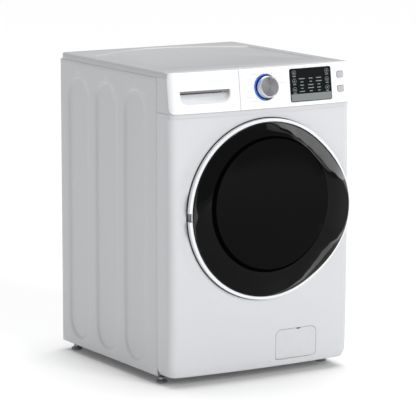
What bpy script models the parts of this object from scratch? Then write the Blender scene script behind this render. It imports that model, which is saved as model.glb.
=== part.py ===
"""Front load washing machine: cabinet, tub, drum, drive, door, drawer, controls and feet.

Metres, +Z up, front facing -Y. The origin is on the floor under the middle of the machine.
Each object is one physical piece. A piece that moves has its origin on its joint's axis.
"""
import math

import bmesh
import bpy
from mathutils import Matrix, Vector

# ---------------------------------------------------------------- driving dimensions
WIDTH = 0.686
DEPTH = 0.802
HEIGHT = 1.024
HALF_W = WIDTH / 2
BACK_Y = DEPTH / 2
GAP = 0.0004                      # clearance between neighbouring pieces
SHEET = 0.0015                    # steel sheet of the cabinet

BODY_BOTTOM = 0.030               # lower edge of the cabinet, above the feet
SIDE_TOP = 1.003                  # the top cover rests just above this
SEAM_Y = -0.246                   # seam between the side panels and the front
CORNER_R = 0.026                  # vertical front corners

FACE_Y = -0.3507                  # foremost point of the bowed front panel
PLAN_BOW = 0.012                  # how far the front recedes 0.3 m from the middle
TALL_BOW = 0.0075                 # how far it recedes 0.45 m above and below FACE_MID_Z
FACE_MID_Z = 0.50
PANEL_BOTTOM = 0.034
PANEL_TOP = 0.8835
LIP_H = 0.040                     # the panel's lower lip curls in over this height
LIP_IN = 0.006

FASCIA_Y = -0.3580                # control fascia's face at FASCIA_REF_Z
FASCIA_REF_Z = 0.900
FASCIA_LEAN = 0.13                # metres back per metre up
FASCIA_BOTTOM = 0.8875
FASCIA_TOP = 1.0235
FASCIA_WALL = 0.003
FASCIA_SPLIT_X = -0.0945          # between the drawer front and the console
TOP_FRONT_Y = -0.312              # front edge of the top cover

AXIS_X = -0.003                   # drum, tub and loading port share this axis, along Y
AXIS_Z = 0.561

DOOR_X = 0.006                    # the door sits a little to the handle side of the port
DOOR_Z = 0.5645
DOOR_RING_R = 0.2965
DOOR_COVER_R = 0.2855
DOOR_BUMP = 0.028                 # how far the handle stands out beyond the circle
DOOR_BUMP_ANGLE = math.radians(60)
DOOR_BACK_Y = -0.3525
DOOR_HINGE = Vector((-0.2755, -0.357, AXIS_Z))
PORT_R = 0.226                    # round opening in the front panel

TUB_R = 0.305
TUB_WALL = 0.005
TUB_SPLIT_Y = 0.030
DRUM_R = 0.285
DRUM_FRONT_Y = -0.178
DRUM_BACK_Y = 0.289
DRUM_MOUTH_R = 0.205
SHAFT_R = 0.015

DRUM_PULLEY_R = 0.145
MOTOR_PULLEY_R = 0.014
MOTOR_X = 0.100
MOTOR_Z = 0.170
BELT_Y = (0.3545, 0.3715)

KNOB = Vector((0.003, 0.0, 0.961))
BUTTON_X = 0.300
BUTTON_ZS = (0.984, 0.938)
WINDOW_X = (0.098, 0.262)
WINDOW_Z = (0.9065, 1.0125)
FLAP_X = (0.049, 0.209)
FLAP_Z = (0.0565, 0.155)
FLAP_CORNER_R = 0.012
FLAP_PIVOT_Y = -0.3407            # behind the foremost end of the flap, so that it opens clear of the hole
PUMP = Vector((0.129, -0.300, 0.108))
FOOT_X = 0.310
FOOT_YS = (-0.218, 0.362)
BASE_TOP = 0.062
BASE_WALL = 0.002                 # pressed sheet of the base channel
BASE_BLOCK = 0.045                # solid corner of the base round each foot
FOOT_STUD_R = 0.005

OVAL_YS = (0.278, 0.089, -0.103)  # middles of the ovals pressed into each side
OVAL_Z = 0.5035
OVAL_HEIGHT = 0.901
OVAL_WIDTH = 0.143
OVAL_FLOOR_WIDTH = 0.127
OVAL_DEPTH = 0.0045

DISH_X = 0.305                    # half width of the top cover's shallow dish
DISH_FRONT_Y = -0.1825
DISH_SHOULDER_Y = 0.240
DISH_BACK_RISE = 0.1225           # how far the dish's curved back edge bulges
DISH_DEPTH = 0.004

TUB_FRONT_Y = -0.200
TUB_BACK_Y = 0.326
SUMP = (0.060, -0.120)            # where the sump hose leaves the tub, (x, y)
FILL = (-0.150, -0.020)           # where the fill hose enters the tub, (x, y)
SPRING_X = 0.251
DAMPER_X = 0.276
SUSPENSION_Y = 0.065
HOOK_X = 0.262
HOOK_PIVOT_Y = -0.3600

# ---------------------------------------------------------------- scene and materials
for old in list(bpy.data.objects):
    bpy.data.objects.remove(old, do_unlink=True)


def material(name, colour, roughness, metallic=0.0):
    mat = bpy.data.materials.new(name)
    mat.use_nodes = True
    shader = mat.node_tree.nodes["Principled BSDF"]
    shader.inputs["Base Color"].default_value = (*colour, 1.0)
    shader.inputs["Roughness"].default_value = roughness
    shader.inputs["Metallic"].default_value = metallic
    return mat


# ---------------------------------------------------------------- mesh helpers
def build(name, verts, faces, mat, smooth=0.0):
    """One object from points and faces, with its faces turned outwards."""
    bm = bmesh.new()
    points = [bm.verts.new(v) for v in verts]
    for face in faces:
        bm.faces.new([points[i] for i in face])
    bmesh.ops.recalc_face_normals(bm, faces=bm.faces)
    mesh = bpy.data.meshes.new(name)
    bm.to_mesh(mesh)
    bm.free()
    mesh.materials.append(mat)
    if smooth:
        mesh.shade_smooth()
        mesh.set_sharp_from_angle(angle=math.radians(smooth))
    obj = bpy.data.objects.new(name, mesh)
    bpy.context.collection.objects.link(obj)
    return obj


def box(name, low, high, mat):
    verts = [(x, y, z) for z in (low[2], high[2]) for y in (low[1], high[1]) for x in (low[0], high[0])]
    faces = [(0, 1, 3, 2), (4, 6, 7, 5), (0, 4, 5, 1), (2, 3, 7, 6), (0, 2, 6, 4), (1, 5, 7, 3)]
    return build(name, verts, faces, mat)


def prism(name, outline, span, axis, mat, smooth=0.0):
    """A closed outline of two coordinates, drawn out along the third axis over span."""
    def point(a, b, c):
        return {"X": (c, a, b), "Y": (a, c, b), "Z": (a, b, c)}[axis]
    n = len(outline)
    verts = [point(a, b, c) for c in span for a, b in outline]
    faces = [tuple(range(n)), tuple(range(n, 2 * n))]
    faces += [(i, (i + 1) % n, n + (i + 1) % n, n + i) for i in range(n)]
    return build(name, verts, faces, mat, smooth)


def turned(name, profile, segments, mat, centre=(AXIS_X, 0.0, AXIS_Z), axis="Y", smooth=40.0):
    """A closed profile of (radius, distance along the axis) points, turned about that axis."""
    verts = []
    rings = []
    for radius, along in profile:
        count = 1 if radius == 0 else segments
        ring = []
        for k in range(count):
            angle = 2 * math.pi * k / segments
            a = radius * math.cos(angle)
            b = radius * math.sin(angle)
            offset = (a, along, b) if axis == "Y" else (a, b, along)
            ring.append(len(verts))
            verts.append(tuple(c + o for c, o in zip(centre, offset)))
        rings.append(ring)
    faces = []
    for ring, following in zip(rings, rings[1:] + rings[:1]):
        if len(ring) == 1 and len(following) == 1:
            continue
        for k in range(segments):
            corners = [ring[k % len(ring)], ring[(k + 1) % len(ring)],
                       following[(k + 1) % len(following)], following[k % len(following)]]
            faces.append(tuple(dict.fromkeys(corners)))
    return build(name, verts, faces, mat, smooth)


def loft(name, rings, mat, smooth=40.0):
    """A solid through closed rings of equal length, capped at both ends."""
    n = len(rings[0])
    verts = [p for ring in rings for p in ring]
    faces = [tuple(range(n)), tuple(range((len(rings) - 1) * n, len(rings) * n))]
    for r in range(len(rings) - 1):
        for i in range(n):
            j = (i + 1) % n
            faces.append((r * n + i, r * n + j, (r + 1) * n + j, (r + 1) * n + i))
    return build(name, verts, faces, mat, smooth)


def skin(name, outer, inner, mat, smooth=35.0):
    """A shell between two grids of points with the same rows and columns."""
    rows, cols = len(outer), len(outer[0])
    verts = [p for row in outer for p in row] + [p for row in inner for p in row]
    base = rows * cols
    faces = []
    for r in range(rows - 1):
        for c in range(cols - 1):
            a = r * cols + c
            faces.append((a, a + 1, a + cols + 1, a + cols))
            faces.append(tuple(base + i for i in (a, a + cols, a + cols + 1, a + 1)))
    rim = [c for c in range(cols)]
    rim += [r * cols + cols - 1 for r in range(1, rows)]
    rim += [(rows - 1) * cols + c for c in range(cols - 2, -1, -1)]
    rim += [r * cols for r in range(rows - 2, 0, -1)]
    for i, j in zip(rim, rim[1:] + rim[:1]):
        faces.append((i, j, base + j, base + i))
    return build(name, verts, faces, mat, smooth)


def boolean(target, operands, operation):
    """Applies a Boolean with each operand, and removes the operand."""
    for operand in operands:
        modifier = target.modifiers.new(operation.lower(), "BOOLEAN")
        modifier.operation = operation
        modifier.object = operand
        modifier.solver = "EXACT"
        bpy.context.view_layer.update()
        evaluated = target.evaluated_get(bpy.context.evaluated_depsgraph_get())
        mesh = bpy.data.meshes.new_from_object(evaluated)
        target.modifiers.remove(modifier)
        target.data = mesh
        bpy.data.objects.remove(operand, do_unlink=True)
    return target


def cut(target, *operands):
    return boolean(target, operands, "DIFFERENCE")


def join(target, *operands):
    return boolean(target, operands, "UNION")


def set_origin(point, *objects):
    """Puts the objects' origins on a joint's axis, without moving the objects."""
    for obj in objects:
        obj.data.transform(Matrix.Translation(-Vector(point)))
        obj.location = point


def arc(cx, cy, radius, start, end, steps):
    """Points on an arc, from start to end degrees, both ends included."""
    return [(cx + radius * math.cos(math.radians(start + (end - start) * k / steps)),
             cy + radius * math.sin(math.radians(start + (end - start) * k / steps)))
            for k in range(steps + 1)]


def rounded_rectangle(x_span, z_span, radius, steps=4):
    x0, x1 = x_span
    z0, z1 = z_span
    points = arc(x1 - radius, z0 + radius, radius, -90, 0, steps)
    points += arc(x1 - radius, z1 - radius, radius, 0, 90, steps)
    points += arc(x0 + radius, z1 - radius, radius, 90, 180, steps)
    points += arc(x0 + radius, z0 + radius, radius, 180, 270, steps)
    return points


def disc(cx, cz, radius, steps=32):
    return arc(cx, cz, radius, 0, 360 * (steps - 1) / steps, steps - 1)


# ---------------------------------------------------------------- surfaces shared by pieces
def panel_y(x, z):
    """The bowed outer face of the front panel."""
    lip = max(0.0, 1 - (z - PANEL_BOTTOM) / LIP_H)
    return FACE_Y + PLAN_BOW * (x / 0.3) ** 2 + TALL_BOW * ((z - FACE_MID_Z) / 0.45) ** 2 + LIP_IN * lip ** 2


def fascia_y(x, z):
    """The leaning, bowed outer face of the control fascia."""
    return FASCIA_Y + FASCIA_LEAN * (z - FASCIA_REF_Z) + PLAN_BOW * (x / 0.3) ** 2


def wrapped_row(surface, z, inset, end_inset, x_from, x_to, face_steps=12):
    """Plan outline of a front piece at height z, from x_from to x_to, round its cabinet corners."""
    half = HALF_W - inset - end_inset
    radius = CORNER_R - inset
    edge = half - radius
    corner_y = surface(edge, z) + inset + radius
    points = []
    if x_from < -edge:
        points.append((-half, SEAM_Y - GAP))
        points += arc(-edge, corner_y, radius, 180, 270, 5)[:-1]
        x_from = -edge
    right_corner = x_to > edge
    x_end = edge if right_corner else x_to
    for k in range(face_steps + 1):
        x = x_from + (x_end - x_from) * k / face_steps
        points.append((x, surface(x, z) + inset))
    if right_corner:
        points += arc(edge, corner_y, radius, 270, 360, 5)[1:]
        points.append((half, SEAM_Y - GAP))
    return [(x, y, z) for x, y in points]


def patch(name, surface, x_span, z_span, front, back, mat, steps=(4, 2)):
    """A plate that follows a front surface; front and back are distances behind it."""
    def grid(offset):
        return [[(x, surface(x, z) + offset, z)
                 for x in [x_span[0] + (x_span[1] - x_span[0]) * i / steps[0] for i in range(steps[0] + 1)]]
                for z in [z_span[0] + (z_span[1] - z_span[0]) * j / steps[1] for j in range(steps[1] + 1)]]
    return skin(name, grid(front), grid(back), mat)


def door_outline(radius, bump, inset=0.0, count=48):
    """The door's circle with the handle's bump on its +X side, as (x, z) points."""
    points = []
    for k in range(count):
        angle = 2 * math.pi * k / count
        off = min(angle, 2 * math.pi - angle)
        swell = 0.0
        if off < DOOR_BUMP_ANGLE:
            swell = bump * (0.5 + 0.5 * math.cos(math.pi * off / DOOR_BUMP_ANGLE)) ** 1.2
        r = radius + swell - inset
        points.append((DOOR_X + r * math.cos(angle), DOOR_Z + r * math.sin(angle)))
    return points


# ---------------------------------------------------------------- cabinet
def make_base():
    """A pressed channel frame, open below, with a solid block round each foot's stud."""
    steel = material("base_steel", (0.42, 0.43, 0.45), 0.5, 0.6)
    half_w, front, back = 0.335, -0.238, 0.392
    gap_w, gap_front, gap_back = 0.255, -0.190, 0.340
    above, roof = 0.2, BASE_TOP - BASE_WALL
    base = box("base_frame", (-half_w, front, BODY_BOTTOM + 0.002), (half_w, back, BASE_TOP), steel)
    cut(base, box("cutter", (-gap_w, gap_front, 0.0), (gap_w, gap_back, above), steel))
    cross_x = half_w - BASE_BLOCK
    for y0, y1 in ((front, gap_front), (gap_back, back)):
        cut(base, box("cutter", (-cross_x, y0 + BASE_WALL, 0.0), (cross_x, y1 - BASE_WALL, roof), steel))
    for side in (-1, 1):
        x0, x1 = sorted((side * (gap_w + BASE_WALL), side * (half_w - BASE_WALL)))
        cut(base, box("cutter", (x0, gap_front + BASE_WALL, 0.0), (x1, gap_back - BASE_WALL, roof), steel))
        for y in FOOT_YS:
            hole_r = FOOT_STUD_R + 0.0008
            hole = [(0, 0.0), (hole_r, 0.0), (hole_r, above), (0, above)]
            cut(base, turned("cutter", hole, 12, steel, (side * FOOT_X, y, 0.0), "Z"))


def oval(y_mid, z_mid, width, height, steps=7):
    """A vertical slot outline with fully round ends, as (y, z) points."""
    r = width / 2
    points = arc(y_mid, z_mid + height / 2 - r, r, 0, 180, steps)
    points += arc(y_mid, z_mid - height / 2 + r, r, 180, 360, steps)
    return points


def make_side(name, side):
    """A sheet with three tall pressed ovals, SHEET thick throughout."""
    paint = material(name + "_paint", (0.86, 0.87, 0.88), 0.35)
    outer_x = side * HALF_W
    x0, x1 = sorted((outer_x, outer_x - side * SHEET))
    panel = box(name, (x0, SEAM_Y + GAP, BODY_BOTTOM), (x1, BACK_Y, SIDE_TOP), paint)

    def pressed(label, y_mid, stations):
        """A solid through ovals at (x, width) stations, all with the same rim width round the ends."""
        rings = []
        for x, width in stations:
            outline = oval(y_mid, OVAL_Z, width, OVAL_HEIGHT - OVAL_WIDTH + width)
            rings.append([(x, y, z) for y, z in outline])
        return loft(label, rings, paint)

    for y_mid in OVAL_YS:
        back = [(outer_x - side * SHEET * 0.5, OVAL_WIDTH + 0.004),
                (outer_x - side * (OVAL_DEPTH + SHEET), OVAL_FLOOR_WIDTH + 0.003)]
        face = [(outer_x + side * 0.001, OVAL_WIDTH), (outer_x - side * OVAL_DEPTH, OVAL_FLOOR_WIDTH)]
        join(panel, pressed("press", y_mid, back))
        cut(panel, pressed("cutter", y_mid, face))


def make_rear():
    paint = material("rear_paint", (0.80, 0.81, 0.82), 0.4)
    rear = box("rear_panel", (-HALF_W + SHEET + GAP, 0.3970, BODY_BOTTOM + 0.002),
               (HALF_W - SHEET - GAP, 0.3985, SIDE_TOP), paint)
    span = (0.38, 0.41)
    cut(rear, prism("cutter", disc(0.0, 0.50, 0.205), span, "Y", paint),
        box("cutter", (0.195, span[0], 0.925), (0.305, span[1], 0.985), paint),
        prism("cutter", disc(-0.24, 0.925, 0.019, 20), span, "Y", paint),
        prism("cutter", disc(-0.29, 0.965, 0.0105, 16), span, "Y", paint))
    box("rear_access_cover", (-0.225, 0.3985 + GAP, 0.275), (0.225, 0.4005, 0.725), paint)


def make_top():
    paint = material("top_paint", (0.88, 0.89, 0.90), 0.35)
    low, high = SIDE_TOP + 0.0005, HEIGHT
    levels = [(low, 0.0), (high - 0.007, 0.0), (high - 0.002, 0.0021), (high, 0.0065)]
    rings = []
    for z, inset in levels:
        x1, y0, y1 = HALF_W - inset, TOP_FRONT_Y, BACK_Y - inset
        plan = [(-x1, y0), (x1, y0)] + arc(x1 - 0.012, y1 - 0.012, 0.012, 0, 90, 4)
        plan += arc(-x1 + 0.012, y1 - 0.012, 0.012, 90, 180, 4)
        rings.append([(x, y, z) for x, y in plan])
    top = loft("top_cover", rings, paint)
    below = 0.9
    dish_under, rim_under = HEIGHT - DISH_DEPTH - SHEET, HEIGHT - SHEET
    cut(top, box("cutter", (-0.338, TOP_FRONT_Y - 0.01, below), (0.338, 0.396, dish_under), paint))
    rim_x, rim_back = 0.3345, 0.3925
    for side in (-1, 1):
        x0, x1 = sorted((side * (DISH_X + SHEET), side * rim_x))
        cut(top, box("cutter", (x0, TOP_FRONT_Y + SHEET, below), (x1, rim_back, rim_under), paint))
    for y0, y1 in ((TOP_FRONT_Y + SHEET, DISH_FRONT_Y - SHEET),
                   (DISH_SHOULDER_Y + DISH_BACK_RISE + SHEET, rim_back)):
        cut(top, box("cutter", (-rim_x, y0, below), (rim_x, y1, rim_under), paint))
    steps = 12
    back = [(DISH_X * (1 - 2 * k / steps),
             DISH_SHOULDER_Y + DISH_BACK_RISE * math.sin(math.pi * k / steps)) for k in range(steps + 1)]
    dish = [(-DISH_X, DISH_FRONT_Y), (DISH_X, DISH_FRONT_Y)] + back
    cut(top, prism("cutter", dish, (HEIGHT - DISH_DEPTH, 1.1), "Z", paint))


def make_front_panel():
    paint = material("front_paint", (0.93, 0.94, 0.95), 0.3)
    levels = [PANEL_BOTTOM, 0.044, 0.058, 0.075, 0.22, 0.39, 0.56, 0.73, PANEL_TOP]
    insets = {PANEL_BOTTOM: 0.012, 0.044: 0.004, 0.058: 0.001}
    outer = [wrapped_row(panel_y, z, 0.0, insets.get(z, 0.0), -1, 1) for z in levels]
    inner = [wrapped_row(panel_y, z, SHEET, insets.get(z, 0.0), -1, 1) for z in levels]
    panel = skin("front_panel", outer, inner, paint)
    span = (-0.40, -0.26)
    flap_hole = rounded_rectangle((FLAP_X[0] - 0.0009, FLAP_X[1] + 0.0009),
                                  (FLAP_Z[0] - 0.0017, FLAP_Z[1] + 0.0009), FLAP_CORNER_R + 0.0005, 3)
    cut(panel, prism("cutter", disc(AXIS_X, AXIS_Z, PORT_R, 40), span, "Y", paint),
        prism("cutter", flap_hole, span, "Y", paint),
        box("cutter", (0.2505, span[0], AXIS_Z - 0.016), (0.2725, span[1], AXIS_Z + 0.016), paint))


FASCIA_LEVELS = [(FASCIA_BOTTOM, 0.004, 0.018), (0.8905, 0.0012, 0.010), (0.897, 0.0, 0.0035),
                 (0.909, 0.0, 0.0), (1.012, 0.0, 0.0), (1.0195, 0.002, 0.001), (FASCIA_TOP, 0.008, 0.006)]


def fascia_block(name, x_from, x_to, mat, steps):
    """A piece of the fascia: a wrapped face with a pocket behind it, open at the back."""
    def ring(z, inset, end_inset, wall):
        row = wrapped_row(fascia_y, z, inset + wall, end_inset, x_from, x_to, steps)
        if wall:
            low_x = max(x_from + wall, row[0][0])
            high_x = min(x_to - wall, row[-1][0])
            row = [(min(max(x, low_x), high_x), y, z) for x, y, z in row]
        back = SEAM_Y + (0.05 if wall else -GAP)
        return [(row[0][0], back, z)] + row + [(row[-1][0], back, z)]
    block = loft(name, [ring(z, i, e, 0.0) for z, i, e in FASCIA_LEVELS], mat, 35.0)
    clean(block)
    pocket = [(FASCIA_BOTTOM + FASCIA_WALL, 0.001, 0.010), (0.900, 0.0, 0.002), (0.909, 0.0, 0.0),
              (1.012, 0.0, 0.0), (1.0185, 0.002, 0.001)]
    hollow = loft("cutter", [ring(z, i, e, FASCIA_WALL) for z, i, e in pocket], mat)
    clean(hollow)
    notch = box("cutter", (-1, TOP_FRONT_Y - GAP, SIDE_TOP - 0.001), (1, 0.0, 1.1), mat)
    return cut(block, hollow, notch)


def clean(obj):
    """Merges points that fall together where an outline is clipped."""
    bm = bmesh.new()
    bm.from_mesh(obj.data)
    bmesh.ops.remove_doubles(bm, verts=bm.verts, dist=0.00001)
    bmesh.ops.recalc_face_normals(bm, faces=bm.faces)
    bm.to_mesh(obj.data)
    bm.free()


def lean_frame(x, z, out=0.0):
    """A frame on the fascia at (x, z): its local -Y stands square to the leaning face."""
    point = Vector((x, fascia_y(x, z), z))
    turn = Matrix.Rotation(-math.atan(FASCIA_LEAN), 4, "X")
    return Matrix.Translation(point) @ turn @ Matrix.Translation((0.0, -out, 0.0))


def make_console():
    gloss = material("fascia_plastic", (0.95, 0.96, 0.97), 0.15)
    console = fascia_block("control_fascia", FASCIA_SPLIT_X + 0.0005, 1.0, gloss, 10)
    span = (-0.40, -0.26)
    window_hole = [WINDOW_X[0] - GAP, WINDOW_X[1] + GAP, WINDOW_Z[0] - GAP, WINDOW_Z[1] + GAP]
    cutters = [box("cutter", (window_hole[0], span[0], window_hole[2]),
                   (window_hole[1], span[1], window_hole[3]), gloss)]
    for z in BUTTON_ZS:
        cutters.append(box("cutter", (BUTTON_X - 0.0138, span[0], z - 0.0107),
                           (BUTTON_X + 0.0138, span[1], z + 0.0107), gloss))
    seat = turned("cutter", [(0, -0.03), (0.0424, -0.03), (0.0424, 0.03), (0, 0.03)], 28, gloss, (0, 0, 0))
    seat.data.transform(lean_frame(KNOB.x, KNOB.z))
    cut(console, seat, *cutters)

    glass = material("display_glass", (0.02, 0.022, 0.025), 0.08)
    patch("display_window", fascia_y, WINDOW_X, WINDOW_Z, -0.0004, 0.0026, glass)
    board = material("board_green", (0.05, 0.22, 0.12), 0.5)
    box("control_board", (0.020, -0.3000, 0.905), (0.318, -0.2980, 0.995), board)
    ring_profile = [(0.0052, 0.0045), (0.0052, 0.0025), (0.0366, 0.0025), (0.0366, -0.0016),
                    (0.0405, -0.0016), (0.0418, -0.0008), (0.0418, 0.0045)]
    light = material("light_ring", (0.08, 0.30, 0.85), 0.25)
    ring = turned("knob_light_ring", ring_profile, 28, light, (0, 0, 0))
    ring.data.transform(lean_frame(KNOB.x, KNOB.z))

    steel = material("knob_steel", (0.70, 0.71, 0.72), 0.28, 1.0)
    knob_profile = [(0, -0.0270), (0.0325, -0.0270), (0.0340, -0.0258), (0.0340, -0.0140), (0.0358, -0.0120),
                    (0.0358, -0.0030), (0.0045, -0.0030), (0.0045, 0.0300), (0, 0.0300)]
    knob = turned("program_knob", knob_profile, 28, steel, (0, 0, 0))
    knob.data.transform(lean_frame(KNOB.x, KNOB.z))
    set_origin((KNOB.x, fascia_y(KNOB.x, KNOB.z), KNOB.z), knob)

    grey = material("button_grey", (0.60, 0.62, 0.64), 0.4)
    for name, z in zip(("power_button", "start_button"), BUTTON_ZS):
        key = patch(name, fascia_y, (BUTTON_X - 0.0130, BUTTON_X + 0.0130), (z - 0.0100, z + 0.0100),
                    -0.0018, 0.0065, grey, (2, 1))
        set_origin((BUTTON_X, fascia_y(BUTTON_X, z), z), key)


def make_dispenser():
    grey = material("dispenser_plastic", (0.70, 0.72, 0.74), 0.45)
    low, high = (-0.3285, -0.244, 0.893), (-0.104, 0.035, 0.998)
    housing = box("dispenser_housing", low, high, grey)
    wall = 0.002
    cut(housing, box("cutter", (low[0] + wall, low[1] - 0.05, low[2] + wall),
                     (high[0] - wall, high[1] - wall, high[2] - wall), grey))

    gloss = material("drawer_plastic", (0.95, 0.96, 0.97), 0.15)
    front = fascia_block("drawer_front", -1.0, FASCIA_SPLIT_X - 0.0005, gloss, 8)
    join(front, box("pocket", (-0.3125, -0.3420, 0.9135), (-0.1270, -0.3190, 0.9660), gloss))
    scoop = [(-0.380, 0.9630), (-0.3225, 0.9630), (-0.3225, 0.9530), (-0.3330, 0.9350), (-0.3540, 0.9195),
             (-0.380, 0.9150)]
    cut(front, prism("cutter", scoop, (-0.309, -0.131), "X", gloss))

    white = material("tray_plastic", (0.85, 0.87, 0.90), 0.4)
    low, high = (-0.3235, -0.312, 0.8985), (-0.1090, 0.000, 0.968)
    tray = box("drawer_tray", low, high, white)
    cells = [((-0.3215, -0.228), 0.9035), ((-0.226, -0.170), 0.9005), ((-0.168, -0.111), 0.9005)]
    for (x0, x1), floor in cells:
        cut(tray, box("cutter", (x0, -0.310, floor), (x1, -0.002, 1.0), white))
    set_origin((FASCIA_SPLIT_X, SEAM_Y, FASCIA_BOTTOM), front, tray)


def make_rear_fittings():
    nylon = material("valve_nylon", (0.82, 0.82, 0.78), 0.5)
    valve = box("inlet_valve", (0.205, 0.325, 0.938), (0.295, 0.362, 0.974), nylon)
    for x in (0.228, 0.272):
        port = [(0, 0.35), (0.0132, 0.35), (0.0132, 0.4005), (0.0085, 0.4005), (0.0085, 0.3970), (0, 0.3970)]
        join(valve, turned("port", port, 14, nylon, (x, 0.0, 0.956)))
    spigot = [(0, 0.350), (0.0140, 0.350), (0.0140, 0.386), (0.0160, 0.388), (0.0160, 0.3915),
              (0.0140, 0.3935), (0.0140, 0.4005), (0.0105, 0.4005), (0.0105, 0.3970), (0, 0.3970)]
    turned("drain_outlet", spigot, 14, nylon, (-0.24, 0.0, 0.925))
    black = material("gland_rubber", (0.04, 0.04, 0.045), 0.6)
    gland = [(0, 0.388), (0.0130, 0.388), (0.0130, 0.3965), (0.0100, 0.3967), (0.0090, 0.4005),
             (0.0038, 0.4005), (0.0038, 0.3970), (0, 0.3970)]
    turned("cord_gland", gland, 12, black, (-0.29, 0.0, 0.965))


# ---------------------------------------------------------------- pump and filter
def make_pump():
    body = material("pump_plastic", (0.55, 0.56, 0.58), 0.45)
    profile = [(0.0275, 0.0), (0.0360, 0.0), (0.0360, 0.118), (0.0300, 0.122), (0.0300, 0.175), (0, 0.175),
               (0, 0.112), (0.0275, 0.112)]
    pump = turned("drain_pump", profile, 20, body, PUMP)
    spout = [(0, 0.030), (0.0150, 0.030), (0.0150, 0.056), (0, 0.056)]
    join(pump, turned("spout", spout, 16, body, (PUMP.x, PUMP.y + 0.075, PUMP.z), "Z"))

    cap_profile = [(0, -0.009), (0.0225, -0.009), (0.0320, -0.007), (0.0320, -0.0010), (0.0262, -0.0005),
                   (0.0262, 0.050), (0.0232, 0.050), (0.0232, 0.004), (0, 0.004)]
    blue = material("filter_cap_plastic", (0.30, 0.33, 0.37), 0.4)
    cap = turned("filter_cap", cap_profile, 20, blue, PUMP)
    join(cap, box("grip", (PUMP.x - 0.022, PUMP.y - 0.021, PUMP.z - 0.0035),
                  (PUMP.x + 0.022, PUMP.y - 0.008, PUMP.z + 0.0035), blue))
    set_origin(PUMP, cap)

    nylon = material("impeller_nylon", (0.75, 0.75, 0.72), 0.5)
    hub = [(0, 0.080), (0.0065, 0.080), (0.0065, 0.108), (0, 0.108)]
    impeller = turned("pump_impeller", hub, 12, nylon, PUMP)
    for k in range(2):
        blade = box("blade", (-0.0210, 0.088, -0.0012), (0.0210, 0.104, 0.0012), nylon)
        blade.data.transform(Matrix.Translation(PUMP) @ Matrix.Rotation(math.pi * k / 2, 4, "Y"))
        join(impeller, blade)
    set_origin(PUMP, impeller)

    white = material("flap_plastic", (0.93, 0.94, 0.95), 0.3)
    flap = patch("filter_flap", panel_y, (FLAP_X[0] - 0.001, FLAP_X[1] + 0.001),
                 (FLAP_Z[0] - 0.001, FLAP_Z[1] + 0.001), 0.0, 0.0025, white, (4, 3))
    trim = prism("trim", rounded_rectangle(FLAP_X, FLAP_Z, FLAP_CORNER_R, 3), (-0.36, -0.32), "Y", white)
    boolean(flap, [trim], "INTERSECT")
    x_mid = (FLAP_X[0] + FLAP_X[1]) / 2
    set_origin((x_mid, FLAP_PIVOT_Y, FLAP_Z[0] + 0.0015), flap)


# ---------------------------------------------------------------- tub and suspension
def make_tub():
    plastic = material("tub_plastic", (0.60, 0.61, 0.60), 0.55)
    front_y, mouth_y = TUB_FRONT_Y, -0.222
    inner = TUB_R - TUB_WALL
    front_profile = [(TUB_R, TUB_SPLIT_Y - GAP), (TUB_R, front_y + 0.010), (TUB_R - 0.010, front_y),
                     (0.232, front_y), (0.232, mouth_y), (0.227, mouth_y), (0.227, front_y + TUB_WALL),
                     (TUB_R - 0.0125, front_y + TUB_WALL), (inner, front_y + 0.0125),
                     (inner, TUB_SPLIT_Y - GAP)]
    front = turned("tub_front", front_profile, 32, plastic)
    for place, (z0, z1) in ((SUMP, (0.238, 0.2665)), (FILL, (0.8240, 0.8440))):
        stub = [(0, z0), (0.018, z0), (0.018, z1), (0, z1)]
        join(front, turned("stub", stub, 12, plastic, (*place, 0.0), "Z"))

    rear_y = TUB_BACK_Y
    hub_r, bore_r = 0.070, 0.036
    rear_profile = [(TUB_R, TUB_SPLIT_Y), (TUB_R, rear_y - 0.008), (TUB_R - 0.008, rear_y), (hub_r, rear_y),
                    (hub_r, 0.345), (bore_r, 0.345), (bore_r, 0.300), (hub_r - 0.005, 0.300),
                    (hub_r - 0.005, rear_y - TUB_WALL), (TUB_R - 0.0105, rear_y - TUB_WALL),
                    (inner, rear_y - 0.0105), (inner, TUB_SPLIT_Y)]
    rear = turned("tub_rear", rear_profile, 32, plastic)
    for side in (-1, 1):
        for x0, x1, z0, z1 in ((0.236, 0.266, 0.744, 0.768), (0.262, 0.290, 0.402, 0.425)):
            xs = sorted((side * x0, side * x1))
            join(rear, box("lug", (xs[0], SUSPENSION_Y - 0.017, z0),
                           (xs[1], SUSPENSION_Y + 0.017, z1), plastic))

    weight = material("counterweight_iron", (0.35, 0.35, 0.34), 0.7, 0.3)
    disc_r, disc_bore, disc_back = 0.300, 0.2335, front_y - GAP
    disc_front = disc_back - 0.0146
    turned("front_counterweight", [(disc_r, disc_back), (disc_r, disc_front), (disc_bore, disc_front),
                                   (disc_bore, disc_back)], 32, weight)
    box("top_counterweight", (-0.080, -0.100, 0.8675), (0.200, 0.020, 0.901), weight)
    bearing = material("bearing_steel", (0.60, 0.60, 0.62), 0.3, 1.0)
    bore = SHAFT_R + GAP
    turned("drum_bearing", [(0.0355, 0.305), (0.0355, 0.340), (bore, 0.340), (bore, 0.305)], 16, bearing)


def coil(name, x, y, z_span, radius, wire, turns, mat):
    """A round wire wound into a vertical spring."""
    steps, sides = 8, 4
    rings = []
    for k in range(turns * steps + 1):
        angle = 2 * math.pi * k / steps
        z = z_span[0] + (z_span[1] - z_span[0]) * k / (turns * steps)
        centre = Vector((x + radius * math.cos(angle), y + radius * math.sin(angle), z))
        outward = Vector((math.cos(angle), math.sin(angle), 0.0))
        rings.append([tuple(centre + wire * (outward * math.cos(a) + Vector((0, 0, 1)) * math.sin(a)))
                      for a in [2 * math.pi * s / sides for s in range(sides)]])
    return loft(name, rings, mat, 60.0)


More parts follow.
